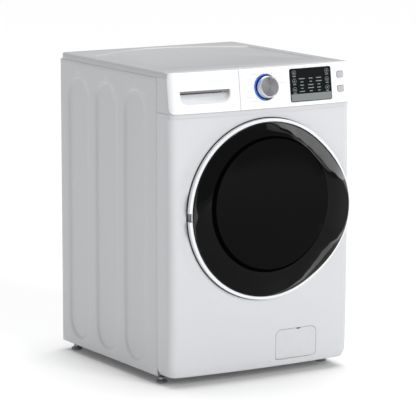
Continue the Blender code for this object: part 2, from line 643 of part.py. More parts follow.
def tube(name, points, radius, mat, sides=12):
    """A round hose through points, on a smooth curve, with flat ends."""
    route = []
    padded = [points[0]] + points + [points[-1]]
    for p0, p1, p2, p3 in zip(padded, padded[1:], padded[2:], padded[3:]):
        for k in range(4):
            t = k / 4
            route.append(tuple(0.5 * (2 * b + (c - a) * t + (2 * a - 5 * b + 4 * c - d) * t * t
                                      + (3 * b - a - 3 * c + d) * t ** 3)
                               for a, b, c, d in zip(p0, p1, p2, p3)))
    route.append(points[-1])
    rings = []
    for i, point in enumerate(route):
        ahead = Vector(route[min(i + 1, len(route) - 1)]) - Vector(route[max(i - 1, 0)])
        if i in (0, len(route) - 1):
            ahead = Vector((0, 0, -1))
        side = ahead.normalized().cross(Vector((0.3, 1, 0))).normalized()
        up = side.cross(ahead.normalized())
        rings.append([tuple(Vector(point) + radius * (side * math.cos(a) + up * math.sin(a)))
                      for a in [2 * math.pi * s / sides for s in range(sides)]])
    return loft(name, rings, mat)


def make_suspension():
    steel = material("spring_steel", (0.45, 0.46, 0.48), 0.35, 1.0)
    brace = material("brace_steel", (0.50, 0.51, 0.53), 0.45, 0.8)
    plastic = material("damper_plastic", (0.75, 0.76, 0.78), 0.5)
    box("top_brace", (-0.333, SUSPENSION_Y - 0.017, 0.9855), (0.333, SUSPENSION_Y + 0.017, 0.998), brace)
    tube_r, tube_bore, tube_top = 0.0150, 0.0100, 0.235
    for name, side in (("left", -1), ("right", 1)):
        coil(name + "_spring", side * SPRING_X, SUSPENSION_Y, (0.7720, 0.9815), 0.0150, 0.0026, 7, steel)
        place = (side * DAMPER_X, SUSPENSION_Y, 0.0)
        bottom, floor = BASE_TOP + GAP, BASE_TOP + 0.012
        outer = [(tube_bore, floor), (tube_r, floor), (tube_r, tube_top), (tube_bore, tube_top)]
        body = turned(name + "_damper_tube", outer, 12, plastic, place, "Z")
        foot = [(0, bottom), (tube_r, bottom), (tube_r, floor + 0.001), (0, floor + 0.001)]
        join(body, turned("foot", foot, 12, plastic, place, "Z"))
        rod = [(0, 0.110), (0.0088, 0.110), (0.0088, 0.150), (0.0060, 0.155), (0.0060, 0.385),
               (0.0110, 0.388), (0.0110, 0.4015), (0, 0.4015)]
        turned(name + "_damper_rod", rod, 12, steel, place, "Z")


def make_seals():
    rubber = material("seal_rubber", (0.35, 0.36, 0.37), 0.65)
    wall = 0.0015
    path = [(0.2300, -0.2230), (0.2300, -0.2420), (0.2160, -0.2520), (0.2160, -0.2850), (0.2360, -0.2940),
            (0.2360, -0.3060), (0.2080, -0.3120), (0.2020, -0.3190), (0.2140, -0.3300), (0.2360, -0.3345)]
    side_a, side_b = [], []
    for i, (r, y) in enumerate(path):
        before, after = path[max(i - 1, 0)], path[min(i + 1, len(path) - 1)]
        along = Vector((after[0] - before[0], after[1] - before[1])).normalized()
        side_a.append((r - along.y * wall, y + along.x * wall))
        side_b.append((r + along.y * wall, y - along.x * wall))
    turned("door_seal", side_a + side_b[::-1], 28, rubber)
    bellows = [(0.0160, 0.8445)]
    for k in range(3):
        z = 0.8445 + 0.0470 * k / 3
        bellows += [(0.0200, z + (0.0 if k == 0 else 0.004)), (0.0200, z + 0.0110), (0.0175, z + 0.0140)]
    bellows += [(0.0200, 0.8925), (0.0160, 0.8925)]
    turned("fill_hose", bellows, 12, rubber, (*FILL, 0.0), "Z")
    route = [(*SUMP, 0.2372), (0.060, -0.122, 0.215), (0.085, -0.165, 0.190), (0.124, -0.215, 0.185),
             (PUMP.x, PUMP.y + 0.075, 0.1648)]
    tube("sump_hose", route, 0.0150, rubber)


# ---------------------------------------------------------------- drum and drive
def make_drum():
    steel = material("drum_steel", (0.75, 0.76, 0.77), 0.25, 1.0)
    t = SHEET
    profile = [(DRUM_MOUTH_R, DRUM_FRONT_Y), (DRUM_R - 0.013, DRUM_FRONT_Y), (DRUM_R, DRUM_FRONT_Y + 0.013),
               (DRUM_R, DRUM_BACK_Y - 0.006), (DRUM_R - 0.006, DRUM_BACK_Y), (0.030, DRUM_BACK_Y),
               (0.030, DRUM_BACK_Y - t), (DRUM_R - 0.007, DRUM_BACK_Y - t),
               (DRUM_R - t, DRUM_BACK_Y - 0.0065),
               (DRUM_R - t, DRUM_FRONT_Y + 0.0137), (DRUM_R - 0.0137, DRUM_FRONT_Y + t),
               (DRUM_MOUTH_R, DRUM_FRONT_Y + t)]
    shell = turned("drum_shell", profile, 36, steel)
    plastic = material("lifter_plastic", (0.80, 0.81, 0.82), 0.4)
    lifters = []
    for name, degrees in (("lifter_top", 0), ("lifter_left", 120), ("lifter_right", 240)):
        outline = [(-0.030, 0.2790), (0.030, 0.2790), (0.016, 0.240), (0.008, 0.2310),
                   (-0.008, 0.2310), (-0.016, 0.240)]
        lifter = prism(name, outline, (-0.140, 0.260), "Y", plastic, 40)
        turn = Matrix.Translation((AXIS_X, 0.0, AXIS_Z)) @ Matrix.Rotation(math.radians(-degrees), 4, "Y")
        lifter.data.transform(turn)
        lifters.append(lifter)
    alloy = material("spider_alloy", (0.62, 0.63, 0.65), 0.5, 0.9)
    shaft = [(0, DRUM_BACK_Y + 0.0035), (0.034, DRUM_BACK_Y + 0.0035), (0.034, 0.2985), (SHAFT_R, 0.2985),
             (SHAFT_R, 0.3790), (0, 0.3790)]
    spider = turned("spider_shaft", shaft, 16, alloy)
    for degrees in (30, 150, 270):
        arm = box("arm", (0.010, DRUM_BACK_Y + 0.0036, -0.020), (0.265, 0.2984, 0.020), alloy)
        turn = Matrix.Translation((AXIS_X, 0.0, AXIS_Z)) @ Matrix.Rotation(math.radians(degrees), 4, "Y")
        arm.data.transform(turn)
        join(spider, arm)
    y0, y1 = BELT_Y
    rim = DRUM_PULLEY_R
    bore = SHAFT_R + 0.0004
    pulley_profile = [(rim, y0), (rim, y1), (rim - 0.007, y1), (rim - 0.007, 0.3660), (0.030, 0.3660),
                      (0.030, 0.3735), (bore, 0.3735), (bore, 0.3500), (0.030, 0.3500), (0.030, 0.3600),
                      (rim - 0.007, 0.3600), (rim - 0.007, y0)]
    pulley = turned("drum_pulley", pulley_profile, 32, alloy)
    set_origin((AXIS_X, 0.0, AXIS_Z), shell, spider, pulley, *lifters)


def make_drive():
    dark = material("motor_paint", (0.12, 0.12, 0.13), 0.5, 0.3)
    motor_at = (MOTOR_X, 0.0, MOTOR_Z)
    body = [(0, 0.190), (0.048, 0.190), (0.056, 0.200), (0.056, 0.325), (0.048, 0.335), (0.0065, 0.335),
            (0.0065, 0.200), (0, 0.200)]
    motor = turned("motor", body, 20, dark, motor_at)
    join(motor, box("bracket", (MOTOR_X - 0.060, 0.225, MOTOR_Z + 0.035),
                    (MOTOR_X + 0.010, 0.300, 0.2575), dark))
    steel = material("pulley_steel", (0.55, 0.56, 0.58), 0.35, 1.0)
    y0, y1 = BELT_Y
    rotor = [(0, 0.210), (0.0060, 0.210), (0.0060, 0.3500), (MOTOR_PULLEY_R + 0.0015, 0.3500),
             (MOTOR_PULLEY_R + 0.0015, y0 - 0.0005), (MOTOR_PULLEY_R, y0 - 0.0005), (MOTOR_PULLEY_R, y1),
             (0, y1)]
    pulley = turned("motor_pulley", rotor, 16, steel, motor_at)
    set_origin(motor_at, pulley)

    rubber = material("belt_rubber", (0.05, 0.05, 0.05), 0.7)
    span = math.hypot(MOTOR_X - AXIS_X, AXIS_Z - MOTOR_Z)
    heading = math.degrees(math.atan2(MOTOR_Z - AXIS_Z, MOTOR_X - AXIS_X))
    wrap = math.degrees(math.acos((DRUM_PULLEY_R - MOTOR_PULLEY_R) / span))

    def run(offset):
        big = arc(AXIS_X, AXIS_Z, DRUM_PULLEY_R + offset, heading + wrap, heading + 360 - wrap, 28)
        small = arc(MOTOR_X, MOTOR_Z, MOTOR_PULLEY_R + offset, heading - wrap, heading + wrap, 10)
        return big + small
    outer = [[(x, y, z) for x, z in run(0.0042)] for y in (y0 + 0.0015, y1 - 0.0015)]
    inner = [[(x, y, z) for x, z in run(0.0016)] for y in (y0 + 0.0015, y1 - 0.0015)]
    n = len(outer[0])
    verts = outer[0] + outer[1] + inner[1] + inner[0]
    faces = [(r * n + i, r * n + (i + 1) % n, (r + 1) % 4 * n + (i + 1) % n, (r + 1) % 4 * n + i)
             for r in range(4) for i in range(n)]
    build("drive_belt", verts, faces, rubber, 40)


# ---------------------------------------------------------------- door
def make_door():
    white = material("door_ring_white", (0.94, 0.95, 0.96), 0.2)
    levels = [(DOOR_RING_R, 0.0, -0.3515), (DOOR_RING_R, 0.0, -0.3590),
              (DOOR_RING_R, DOOR_BUMP * 0.75, -0.3622), (DOOR_RING_R - 0.0015, DOOR_BUMP * 0.86, -0.3640),
              (DOOR_COVER_R + 0.0010, DOOR_BUMP, -0.3648)]
    inner = [(DOOR_COVER_R + 0.0010, DOOR_BUMP, -0.3632), (DOOR_RING_R - 0.0020, DOOR_BUMP * 0.70, -0.3602),
             (DOOR_RING_R - 0.0020, 0.0, -0.3580), (DOOR_RING_R - 0.0020, 0.0, -0.3515)]
    loops = [[(x, y, z) for x, z in door_outline(r, bump)] for r, bump, y in levels + inner]
    n = len(loops[0])
    verts = [p for loop in loops for p in loop]
    faces = [(a * n + i, a * n + (i + 1) % n, b * n + (i + 1) % n, b * n + i)
             for a, b in [(k, (k + 1) % len(loops)) for k in range(len(loops))] for i in range(n)]
    ring = build("door_ring", verts, faces, white, 35)

    black = material("door_cover_black", (0.012, 0.013, 0.015), 0.06)
    front = [(DOOR_COVER_R, DOOR_BUMP, -0.3645), (DOOR_COVER_R - 0.0010, DOOR_BUMP, -0.3675),
             (0.262, DOOR_BUMP * 1.05, -0.3865), (0.225, 0.010, -0.3950), (0.170, 0.0, -0.3990),
             (0.085, 0.0, -0.4008)]
    back = [(0.085, 0.0, -0.3978), (0.170, 0.0, -0.3960), (0.223, 0.010, -0.3920),
            (0.258, DOOR_BUMP * 1.05, -0.3835), (DOOR_COVER_R - 0.0035, DOOR_BUMP, -0.3670),
            (DOOR_COVER_R - 0.0035, DOOR_BUMP, -0.3645)]
    loops = [[(x, y, z) for x, z in door_outline(r, bump)] for r, bump, y in front + back]
    verts = [p for loop in loops for p in loop]
    verts += [(DOOR_X, -DEPTH / 2, DOOR_Z), (DOOR_X, -DEPTH / 2 + 0.003, DOOR_Z)]
    faces = []
    for a in range(len(loops)):
        b = (a + 1) % len(loops)
        if a == len(front) - 1:
            continue
        faces += [(a * n + i, a * n + (i + 1) % n, b * n + (i + 1) % n, b * n + i) for i in range(n)]
    front_tip, back_tip = len(verts) - 2, len(verts) - 1
    for loop, tip in ((len(front) - 1, front_tip), (len(front), back_tip)):
        faces += [(loop * n + i, loop * n + (i + 1) % n, tip) for i in range(n)]
    cover = build("door_cover", verts, faces, black, 30)

    glass = material("bowl_glass", (0.35, 0.40, 0.40), 0.05)
    bowl = [(0.2000, -0.3595), (0.2000, -0.3640), (0.1820, -0.3640), (0.1740, -0.3300), (0.1600, -0.2150),
            (0.1400, -0.2090), (0, -0.2060), (0, -0.2020), (0.1430, -0.2050), (0.1650, -0.2110),
            (0.1790, -0.3300),
            (0.1860, -0.3595)]
    centre = (DOOR_X, 0.0, DOOR_Z)
    window = turned("door_bowl", bowl, 32, glass, centre)

    grey = material("door_frame_grey", (0.55, 0.57, 0.60), 0.4)
    frame_profile = [(0.2720, DOOR_BACK_Y), (0.2720, -0.3590), (0.1875, -0.3590),
                     (0.1875, DOOR_BACK_Y - 0.002), (0.1920, DOOR_BACK_Y)]
    frame = turned("door_inner_frame", frame_profile, 36, grey, centre)
    cut(frame, box("cutter", (0.2500, -0.37, AXIS_Z - 0.0135), (0.2735, -0.34, AXIS_Z + 0.0135), grey))

    steel = material("hinge_steel", (0.66, 0.67, 0.68), 0.35, 1.0)
    hx, hy, hz = DOOR_HINGE
    knuckle_r, bore_r, pin_r = 0.0055, 0.0034, 0.0029
    middle, outer = 0.0120, 0.0260         # half heights of the bracket's knuckle and of the arm's pair
    cut(ring, box("cutter", (-0.32, -0.38, hz - 0.0138), (hx + 0.002, -0.34, hz + 0.0138), steel))

    arm = box("hinge_arm", (hx + 0.0038, -0.3632, hz - outer), (hx + 0.060, -0.3596, hz + outer), steel)
    for low, high in ((-outer, -middle - 0.0006), (middle + 0.0006, outer)):
        knuckle = [(0, low), (knuckle_r, low), (knuckle_r, high), (0, high)]
        join(arm, turned("knuckle", knuckle, 16, steel, DOOR_HINGE, "Z"))
    clearance = [(0, -middle - 0.0006), (0.0075, -middle - 0.0006), (0.0075, middle + 0.0006),
                 (0, middle + 0.0006)]
    bore = [(0, -0.03), (bore_r, -0.03), (bore_r, 0.03), (0, 0.03)]
    cut(arm, turned("cutter", clearance, 16, steel, DOOR_HINGE, "Z"),
        turned("cutter", bore, 16, steel, DOOR_HINGE, "Z"))

    plate_y = (-0.3458, -0.3438)
    bracket = box("hinge_bracket", (hx + 0.0185, plate_y[0], hz - 0.038),
                  (hx + 0.0390, plate_y[1], hz + 0.038), steel)
    knuckle = [(0, -middle), (knuckle_r, -middle), (knuckle_r, middle), (0, middle)]
    pin = [(0, -0.027), (pin_r, -0.027), (pin_r, 0.027), (0, 0.027)]
    join(bracket,
         box("tongue", (hx + 0.0005, plate_y[0], hz - middle), (hx + 0.0200, plate_y[1], hz + middle), steel),
         box("ear", (hx + 0.0005, hy, hz - middle), (hx + 0.0050, plate_y[1] - 0.0002, hz + middle), steel),
         turned("knuckle", knuckle, 16, steel, DOOR_HINGE, "Z"),
         turned("pin", pin, 16, steel, DOOR_HINGE, "Z"))

    set_origin(DOOR_HINGE, ring, cover, window, frame, arm)

    outline = [(-0.3630, -0.010), (-0.3290, -0.010), (-0.3225, -0.006), (-0.3225, 0.002),
               (-0.3330, 0.002), (-0.3350, 0.010), (-0.3630, 0.010)]
    hook = prism("door_hook", [(y, AXIS_Z + z) for y, z in outline],
                 (HOOK_X - 0.0035, HOOK_X + 0.0035), "X", steel)
    set_origin((HOOK_X, HOOK_PIVOT_Y, AXIS_Z), hook)

    lock = box("door_lock", (0.2455, -0.3365, AXIS_Z - 0.045), (0.2900, -0.3000, AXIS_Z + 0.045),
               material("lock_plastic", (0.15, 0.15, 0.16), 0.5))
    cut(lock, box("cutter", (0.2520, -0.35, AXIS_Z - 0.015), (0.2720, -0.3160, AXIS_Z + 0.015), steel))


# ---------------------------------------------------------------- feet
def make_feet():
    black = material("foot_rubber", (0.06, 0.06, 0.065), 0.7)
    for front_back, y in zip(("front", "rear"), FOOT_YS):
        for name, side in (("left", -1), ("right", 1)):
            centre = (side * FOOT_X, y, 0.0)
            profile = [(0, 0), (0.0180, 0), (0.0190, 0.003), (0.0190, 0.007), (0.0110, 0.011),
                       (0.0110, 0.018), (FOOT_STUD_R, 0.018), (FOOT_STUD_R, 0.054), (0, 0.054)]
            foot = turned(front_back + "_" + name + "_foot", profile, 12, black, centre, "Z")
            set_origin(centre, foot)


make_base()
make_side("left_side_panel", -1)
make_side("right_side_panel", 1)
make_rear()
make_top()
make_front_panel()
make_console()
make_dispenser()
make_rear_fittings()
make_pump()
make_tub()
make_suspension()
make_seals()
make_drum()
make_drive()
make_door()
make_feet()
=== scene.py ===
"""Front load washing machine: the looks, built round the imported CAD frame.

Metres, +Z up, front facing -Y. Each function makes one piece, or one family of alike pieces.
"""
import math

import bmesh
import bpy
import numpy as np
from mathutils import Matrix, Vector
from mathutils.geometry import delaunay_2d_cdt
from mathutils.kdtree import KDTree


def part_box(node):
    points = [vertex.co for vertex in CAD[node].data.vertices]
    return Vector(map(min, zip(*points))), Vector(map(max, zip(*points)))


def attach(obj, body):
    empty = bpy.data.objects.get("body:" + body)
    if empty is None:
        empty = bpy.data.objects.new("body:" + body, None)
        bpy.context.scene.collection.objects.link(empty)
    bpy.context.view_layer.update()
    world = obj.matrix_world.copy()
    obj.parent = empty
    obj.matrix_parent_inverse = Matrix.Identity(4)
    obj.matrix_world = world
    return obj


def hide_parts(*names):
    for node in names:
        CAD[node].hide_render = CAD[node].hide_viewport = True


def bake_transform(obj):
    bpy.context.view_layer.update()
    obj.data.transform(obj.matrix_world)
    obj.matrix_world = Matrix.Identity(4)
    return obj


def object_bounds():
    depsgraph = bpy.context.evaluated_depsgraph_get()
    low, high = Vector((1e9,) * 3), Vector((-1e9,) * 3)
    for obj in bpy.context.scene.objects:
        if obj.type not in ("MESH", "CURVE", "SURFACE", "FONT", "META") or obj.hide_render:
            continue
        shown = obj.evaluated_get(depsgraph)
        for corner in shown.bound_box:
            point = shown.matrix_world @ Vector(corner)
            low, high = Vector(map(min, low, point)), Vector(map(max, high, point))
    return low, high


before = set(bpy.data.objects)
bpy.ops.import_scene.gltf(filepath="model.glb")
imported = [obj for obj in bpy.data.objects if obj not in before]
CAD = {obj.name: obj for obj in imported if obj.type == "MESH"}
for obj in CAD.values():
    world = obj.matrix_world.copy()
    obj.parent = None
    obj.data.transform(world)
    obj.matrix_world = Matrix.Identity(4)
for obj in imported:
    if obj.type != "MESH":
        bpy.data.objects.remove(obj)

CAD_BOX = [list(corner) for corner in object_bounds()]

# ---------------------------------------------------------------- dimensions
HALF_W = CAD_BOX[1][0]
TOP_Z = CAD_BOX[1][2]
DRUM_LOW, DRUM_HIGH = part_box("drum_shell")
AXIS_X = (DRUM_LOW.x + DRUM_HIGH.x) / 2
AXIS_Z = (DRUM_LOW.z + DRUM_HIGH.z) / 2
DRUM_R = (DRUM_HIGH.z - DRUM_LOW.z) / 2
SEAM_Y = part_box("left_side_panel")[0].y - 0.0004  # where the front meets the side panels
SIDE_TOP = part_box("left_side_panel")[1].z
TOP_FRONT_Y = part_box("top_cover")[0].y
TOP_GAP_Y = TOP_FRONT_Y - 0.0006  # where the console ends before the top cover
PANEL_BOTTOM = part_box("front_panel")[0].z
PANEL_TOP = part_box("front_panel")[1].z
SHEET = 0.0012
TOP_ROLL = 0.0085                 # radius of the rolled edges of the top
DISH_HALF_W = 0.305               # half the width of the dish in the top

FACE_Y = -0.3507                  # foremost line of the bowed front panel
FACE_MID_Z = 0.50
BOW_W, PLAN_BOW = 0.30, 0.012     # the front recedes this much at that distance from the middle
BOW_H, TALL_BOW = 0.45, 0.0075    # and this much at that height above and below FACE_MID_Z
LIP_H = 0.04                      # the lower lip curls in over this height
LIP_IN = 0.006
TUCK_H = 0.028                    # the lower corners draw in over this height
TUCK_IN = 0.012
CORNER_R = 0.026
RETURN = 0.07                     # length along the surface given to each side return

FASCIA_Y = -0.358                 # console face at FASCIA_REF_Z
FASCIA_REF_Z = 0.9
FASCIA_LEAN = 0.13                # metres back per metre up
FASCIA_BOTTOM = 0.893
FASCIA_TOP = TOP_Z - 0.0006
FASCIA_SPLIT_X = -0.0945          # line between the drawer and the controls
FASCIA_GAP = 0.0006
FASCIA_CORNER_R = 0.022           # rounding of the outline at its far lower corners
FACE_STEP = 0.0105                # how far the console's face stands in front of its surround
FACE_WRAP_R = 0.024               # the face turns back round the cabinet's corner
SURROUND_R = 0.02
SURROUND_X = 0.315                # the surround shows from here outwards
STRIP_X = 0.3345                  # the strips above and below the face end here

HANDLE_X = (-0.311, -0.129)       # recess in the drawer's face
HANDLE_Z = (0.9225, 0.964)
HANDLE_R = 0.026
DISPLAY = (0.098, 0.262, 0.9065, 1.0125)
KNOB_X, KNOB_Z = 0.003, 0.961
KNOB_SEAT_R = 0.0424
KEY_X = 0.3
KEYS = (("power_button", "power_key", 0.984), ("start_button", "start_key", 0.938))

DOOR_X, DOOR_Z = 0.006, 0.5645    # middle of the door
DOOR_STEPS = 192                  # points in each ring of the door
RING_R = 0.2965                   # outside of the white ring
COVER_R = 0.2855                  # outside of the black cover
COVER_Y = -0.368                  # front of the cover's rim
BUMP = 0.028                      # how far the handle stands out beyond the circle
BUMP_ANGLE = math.radians(60)
BUMP_DROP = math.radians(5)       # how far the handle points below the level
COLLAR_Y = -0.3472                # flat collar of the front panel behind the ring
COLLAR_R = (0.299, 0.336)         # radii between which the collar fades out
COLLAR_HINGE_Z = (0.05, 0.034)    # half height left out at the hinge, and its fade
COLLAR_HANDLE = (math.radians(38), math.radians(18))  # half angle left out at the handle, and its fade
PORT_R = 0.226
WINDOW_R = 0.222                  # dark disc in the cover
WINDOW_SHIFT = (-0.011, 0.022)    # from the middle of the door, in X and Z

FLOOR_GLOW = 0.06                 # light of the stage
WORLD_LEVEL = 0.52
SUN_STRENGTH = 1.62
FRONT_POWER = 360.0
CARD_POWER = 170.0
CAMERA_AT = (-4.5484, -7.5217, 1.9979)
CAMERA_AIM = Vector((0.0446, 0.0775, 0.502))
LENS = 230.1


# ---------------------------------------------------------------- outlines
def smooth(t):
    t = min(max(t, 0.0), 1.0)
    return t * t * (3 - 2 * t)


def arc(cx, cy, radius, start, end, steps):
    """Points on an arc, from start to end degrees, both ends included."""
    return [(cx + radius * math.cos(math.radians(start + (end - start) * k / steps)),
             cy + radius * math.sin(math.radians(start + (end - start) * k / steps)))
            for k in range(steps + 1)]


def circle(cx, cy, radius, count):
    return arc(cx, cy, radius, 0, 360, count)[:-1]


def rounded_rectangle(x0, x1, y0, y1, radius, steps=6):
    """An outline with one radius, or one a corner: lower right, upper right, upper left, lower left."""
    a, b, c, d = radius if isinstance(radius, tuple) else (radius,) * 4
    return (arc(x1 - a, y0 + a, a, -90, 0, steps) + arc(x1 - b, y1 - b, b, 0, 90, steps)
            + arc(x0 + c, y1 - c, c, 90, 180, steps) + arc(x0 + d, y0 + d, d, 180, 270, steps))


def around(x, y, width, height, radius, steps):
    """A rounded rectangle round a middle point."""
    return rounded_rectangle(x - width / 2, x + width / 2, y - height / 2, y + height / 2, radius, steps)


def oval(cx, cy, width, height, steps=16):
    """A tall slot with fully round ends."""
    r = width / 2
    return arc(cx, cy + height / 2 - r, r, 0, 180, steps) + arc(cx, cy - height / 2 + r, r, 180, 360, steps)


def soft_corners(points, radius, steps=3, closed=True):
    """A polyline whose corners are turned into short curves."""
    out = []
    n = len(points)
    for i, point in enumerate(points):
        if not closed and i in (0, n - 1):
            out.append(tuple(point))
            continue
        before, here, after = Vector(points[i - 1]), Vector(point), Vector(points[(i + 1) % n])
        start = here + (before - here).normalized() * min(radius, (before - here).length * 0.45)
        end = here + (after - here).normalized() * min(radius, (after - here).length * 0.45)
        for k in range(steps + 1):
            t = k / steps
            out.append(tuple((1 - t) ** 2 * start + 2 * t * (1 - t) * here + t * t * end))
    return out


def oriented(loop, turn):
    """The loop as an array without repeated points: anticlockwise (turn 1) or clockwise (turn -1)."""
    p = np.array(loop, float)
    p = p[np.linalg.norm(p - np.roll(p, 1, axis=0), axis=1) > 1e-7]
    q = np.roll(p, -1, axis=0)
    area = (p[:, 0] * q[:, 1] - q[:, 0] * p[:, 1]).sum()
    return p if area * turn > 0 else p[::-1]


def densify(loop, step):
    out = []
    for a, b in zip(loop, np.roll(loop, -1, axis=0)):
        parts = max(1, math.ceil(np.linalg.norm(b - a) / step))
        out += [a + (b - a) * k / parts for k in range(parts)]
    return np.array(out)


def shifted(loop, distance):
    """The loop moved to its left: inwards where it runs anticlockwise."""
    ahead = np.roll(loop, -1, axis=0) - loop
    ahead /= np.linalg.norm(ahead, axis=1, keepdims=True)
    behind = np.roll(ahead, 1, axis=0)
    left_ahead = np.stack([-ahead[:, 1], ahead[:, 0]], axis=1)
    left_behind = np.stack([-behind[:, 1], behind[:, 0]], axis=1)
    middle = left_ahead + left_behind
    middle /= np.linalg.norm(middle, axis=1, keepdims=True)
    stretch = 1 / np.maximum(0.5, (middle * left_ahead).sum(axis=1))
    return loop + middle * (distance * stretch)[:, None]


def inside(points, loop):
    """Which points lie inside a closed loop."""
    x, y = points[:, 0:1], points[:, 1:2]
    a, b = loop, np.roll(loop, -1, axis=0)
    rise = np.where(b[:, 1] == a[:, 1], 1e-12, b[:, 1] - a[:, 1])
    crosses = (a[:, 1] > y) != (b[:, 1] > y)
    meets = a[:, 0] + (y - a[:, 1]) * (b[:, 0] - a[:, 0]) / rise
    return (crosses & (x < meets)).sum(axis=1) % 2 == 1


def within(points, loops):
    """Which points lie inside the first loop and outside the others."""
    keep = inside(points, loops[0])
    for loop in loops[1:]:
        keep &= ~inside(points, loop)
    return keep


# ---------------------------------------------------------------- meshes
def linked(name, data):
    made = bpy.data.objects.new(name, data)
    bpy.context.scene.collection.objects.link(made)
    return made


def shaded(mesh, crease=35.0):
    mesh.shade_smooth()
    mesh.set_sharp_from_angle(angle=math.radians(crease))


def mesh_object(name, verts, faces, mat, crease=35.0):
    mesh = bpy.data.meshes.new(name)
    mesh.from_pydata([tuple(v) for v in verts], [], [tuple(f) for f in faces])
    bm = bmesh.new()
    bm.from_mesh(mesh)
    bmesh.ops.remove_doubles(bm, verts=bm.verts, dist=1e-6)
    bmesh.ops.dissolve_degenerate(bm, edges=bm.edges, dist=1e-7)
    bmesh.ops.recalc_face_normals(bm, faces=bm.faces)
    bm.to_mesh(mesh)
    bm.free()
    mesh.materials.append(mat)
    shaded(mesh, crease)
    return linked(name, mesh)


def merged(name, pieces):
    """Several meshes as one object, each keeping its materials."""
    mats = []
    bm = bmesh.new()
    for piece in pieces:
        index = []
        for mat in piece.data.materials:
            if mat not in mats:
                mats.append(mat)
            index.append(mats.index(mat))
        start = len(bm.faces)
        bm.from_mesh(piece.data)
        bm.faces.ensure_lookup_table()
        for face in bm.faces[start:]:
            face.material_index = index[face.material_index]
    mesh = bpy.data.meshes.new(name)
    bm.to_mesh(mesh)
    bm.free()
    for mat in mats:
        mesh.materials.append(mat)
    for piece in pieces:
        bpy.data.objects.remove(piece, do_unlink=True)
    return linked(name, mesh)


def carve(target, cutter):
    step = target.modifiers.new("carve", "BOOLEAN")
    step.solver = "EXACT"
    step.operation = "DIFFERENCE"
    step.object = cutter
    with bpy.context.temp_override(object=target, active_object=target):
        bpy.ops.object.modifier_apply(modifier=step.name)
    bpy.data.objects.remove(cutter, do_unlink=True)
    target.data.set_sharp_from_angle(angle=math.radians(35))


def add(piece, body, slot, *nodes):
    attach(piece, body)
    if nodes:
        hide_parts(*nodes)


def press(outline, width, depth, steps=5):
    """A pressed area, as (ring, depth) pairs that go down over width to its floor."""
    loop = oriented(outline, 1)
    return [(shifted(loop, width * k / steps), depth * smooth(k / steps)) for k in range(steps + 1)]


def interior(loops, spacing, known, clear):
    """An even grid of points within the loops that keeps clear of the known points."""
    tree = KDTree(len(known))
    for i, (u, v) in enumerate(known):
        tree.insert((u, v, 0.0), i)
    tree.balance()
    axes = []
    for low, high, step in zip(loops[0].min(axis=0), loops[0].max(axis=0), spacing):
        count = max(2, math.ceil((high - low) / step))
        axes.append(low + (high - low) * (np.arange(count) + 0.5) / count)
    grid = np.array([(u, v) for u in axes[0] for v in axes[1]])
    grid = grid[within(grid, loops)]
    return grid[np.array([tree.find((u, v, 0.0))[2] > clear for u, v in grid], bool)]


def plate(name, outline, place, thickness, mat, holes=(), presses=(), spacing=(0.02, 0.02), rounding=0.0012,
          steps=3, crease=35.0):
    """A sheet with rounded front edges. place(u, v, depth) gives the point at a depth below its face."""
    step = min(spacing)
    loops = [densify(oriented(outline, 1), step)] + [densify(oriented(h, -1), step) for h in holes]
    points, depths, edges, rims = [], [], [], []

    def ring(loop, depth):
        start, n = len(points), len(loop)
        points.extend(loop)
        depths.extend([depth] * n)
        edges.extend((start + i, start + (i + 1) % n) for i in range(n))
        return list(range(start, start + n))
    for loop in loops:
        turns = [math.pi / 2 * k / steps for k in range(steps + 1)]
        made = [ring(shifted(loop, rounding * (1 - math.cos(a))), rounding * (1 - math.sin(a)))
                for a in turns]
        rims.append(made[0])
    floors = [pair for rings in presses for pair in rings]
    for loop, depth in floors:
        ring(densify(loop, step), depth)
    grid = interior(loops, spacing, points, rounding + 0.4 * step)
    floor = np.zeros(len(grid))
    for loop, depth in floors:
        floor[inside(grid, loop)] = depth
    points.extend(grid)
    depths.extend(floor)

    made, _, triangles, origin, _, _ = delaunay_2d_cdt([Vector(p) for p in points], edges, [], 0, 1e-8)
    flat = np.array([tuple(v) for v in made])
    depth = np.array([depths[o[0]] if o else 0.0 for o in origin])
    triangles = np.array([t for t in triangles if len(t) == 3])
    triangles = triangles[within(flat[triangles].mean(axis=1), loops)]
    to_made = {old: new for new, olds in enumerate(origin) for old in olds}

    n = len(flat)
    back = thickness if callable(thickness) else (lambda u, v, d: d + thickness)
    verts = [place(u, v, d) for (u, v), d in zip(flat, depth)]
    verts += [place(u, v, max(d + 0.0004, back(u, v, d))) for (u, v), d in zip(flat, depth)]
    faces = [tuple(t) for t in triangles] + [tuple(n + i for i in t[::-1]) for t in triangles]
    for rim in rims:
        rim = [to_made[i] for i in rim]
        faces += [(a, b, n + b, n + a) for a, b in zip(rim, rim[1:] + rim[:1]) if a != b]
    used = {old: new for new, old in enumerate(sorted({i for f in faces for i in f}))}
    faces = [tuple(used[i] for i in f) for f in faces]
    return mesh_object(name, [verts[i] for i in used], faces, mat, crease)


def turned(name, profile, segments, mat, centre=(0, 0, 0), axis="Y", crease=30.0):
    """A closed profile of (radius, distance along the axis) points, turned about that axis."""
    verts, rings = [], []
    for radius, along in profile:
        count = 1 if radius < 1e-7 else segments
        ring = []
        for k in range(count):
            angle = 2 * math.pi * k / segments
            a, b = radius * math.cos(angle), radius * math.sin(angle)
            offset = (a, along, b) if axis == "Y" else (a, b, along)
            ring.append(len(verts))
            verts.append(tuple(c + o for c, o in zip(centre, offset)))
        rings.append(ring)
    faces = []
    for ring, following in zip(rings, rings[1:] + rings[:1]):
        if len(ring) == 1 and len(following) == 1:
            continue
        for k in range(segments):
            corners = [ring[k % len(ring)], ring[(k + 1) % len(ring)],
                       following[(k + 1) % len(following)], following[k % len(following)]]
            faces.append(tuple(dict.fromkeys(corners)))
    return mesh_object(name, verts, faces, mat, crease)


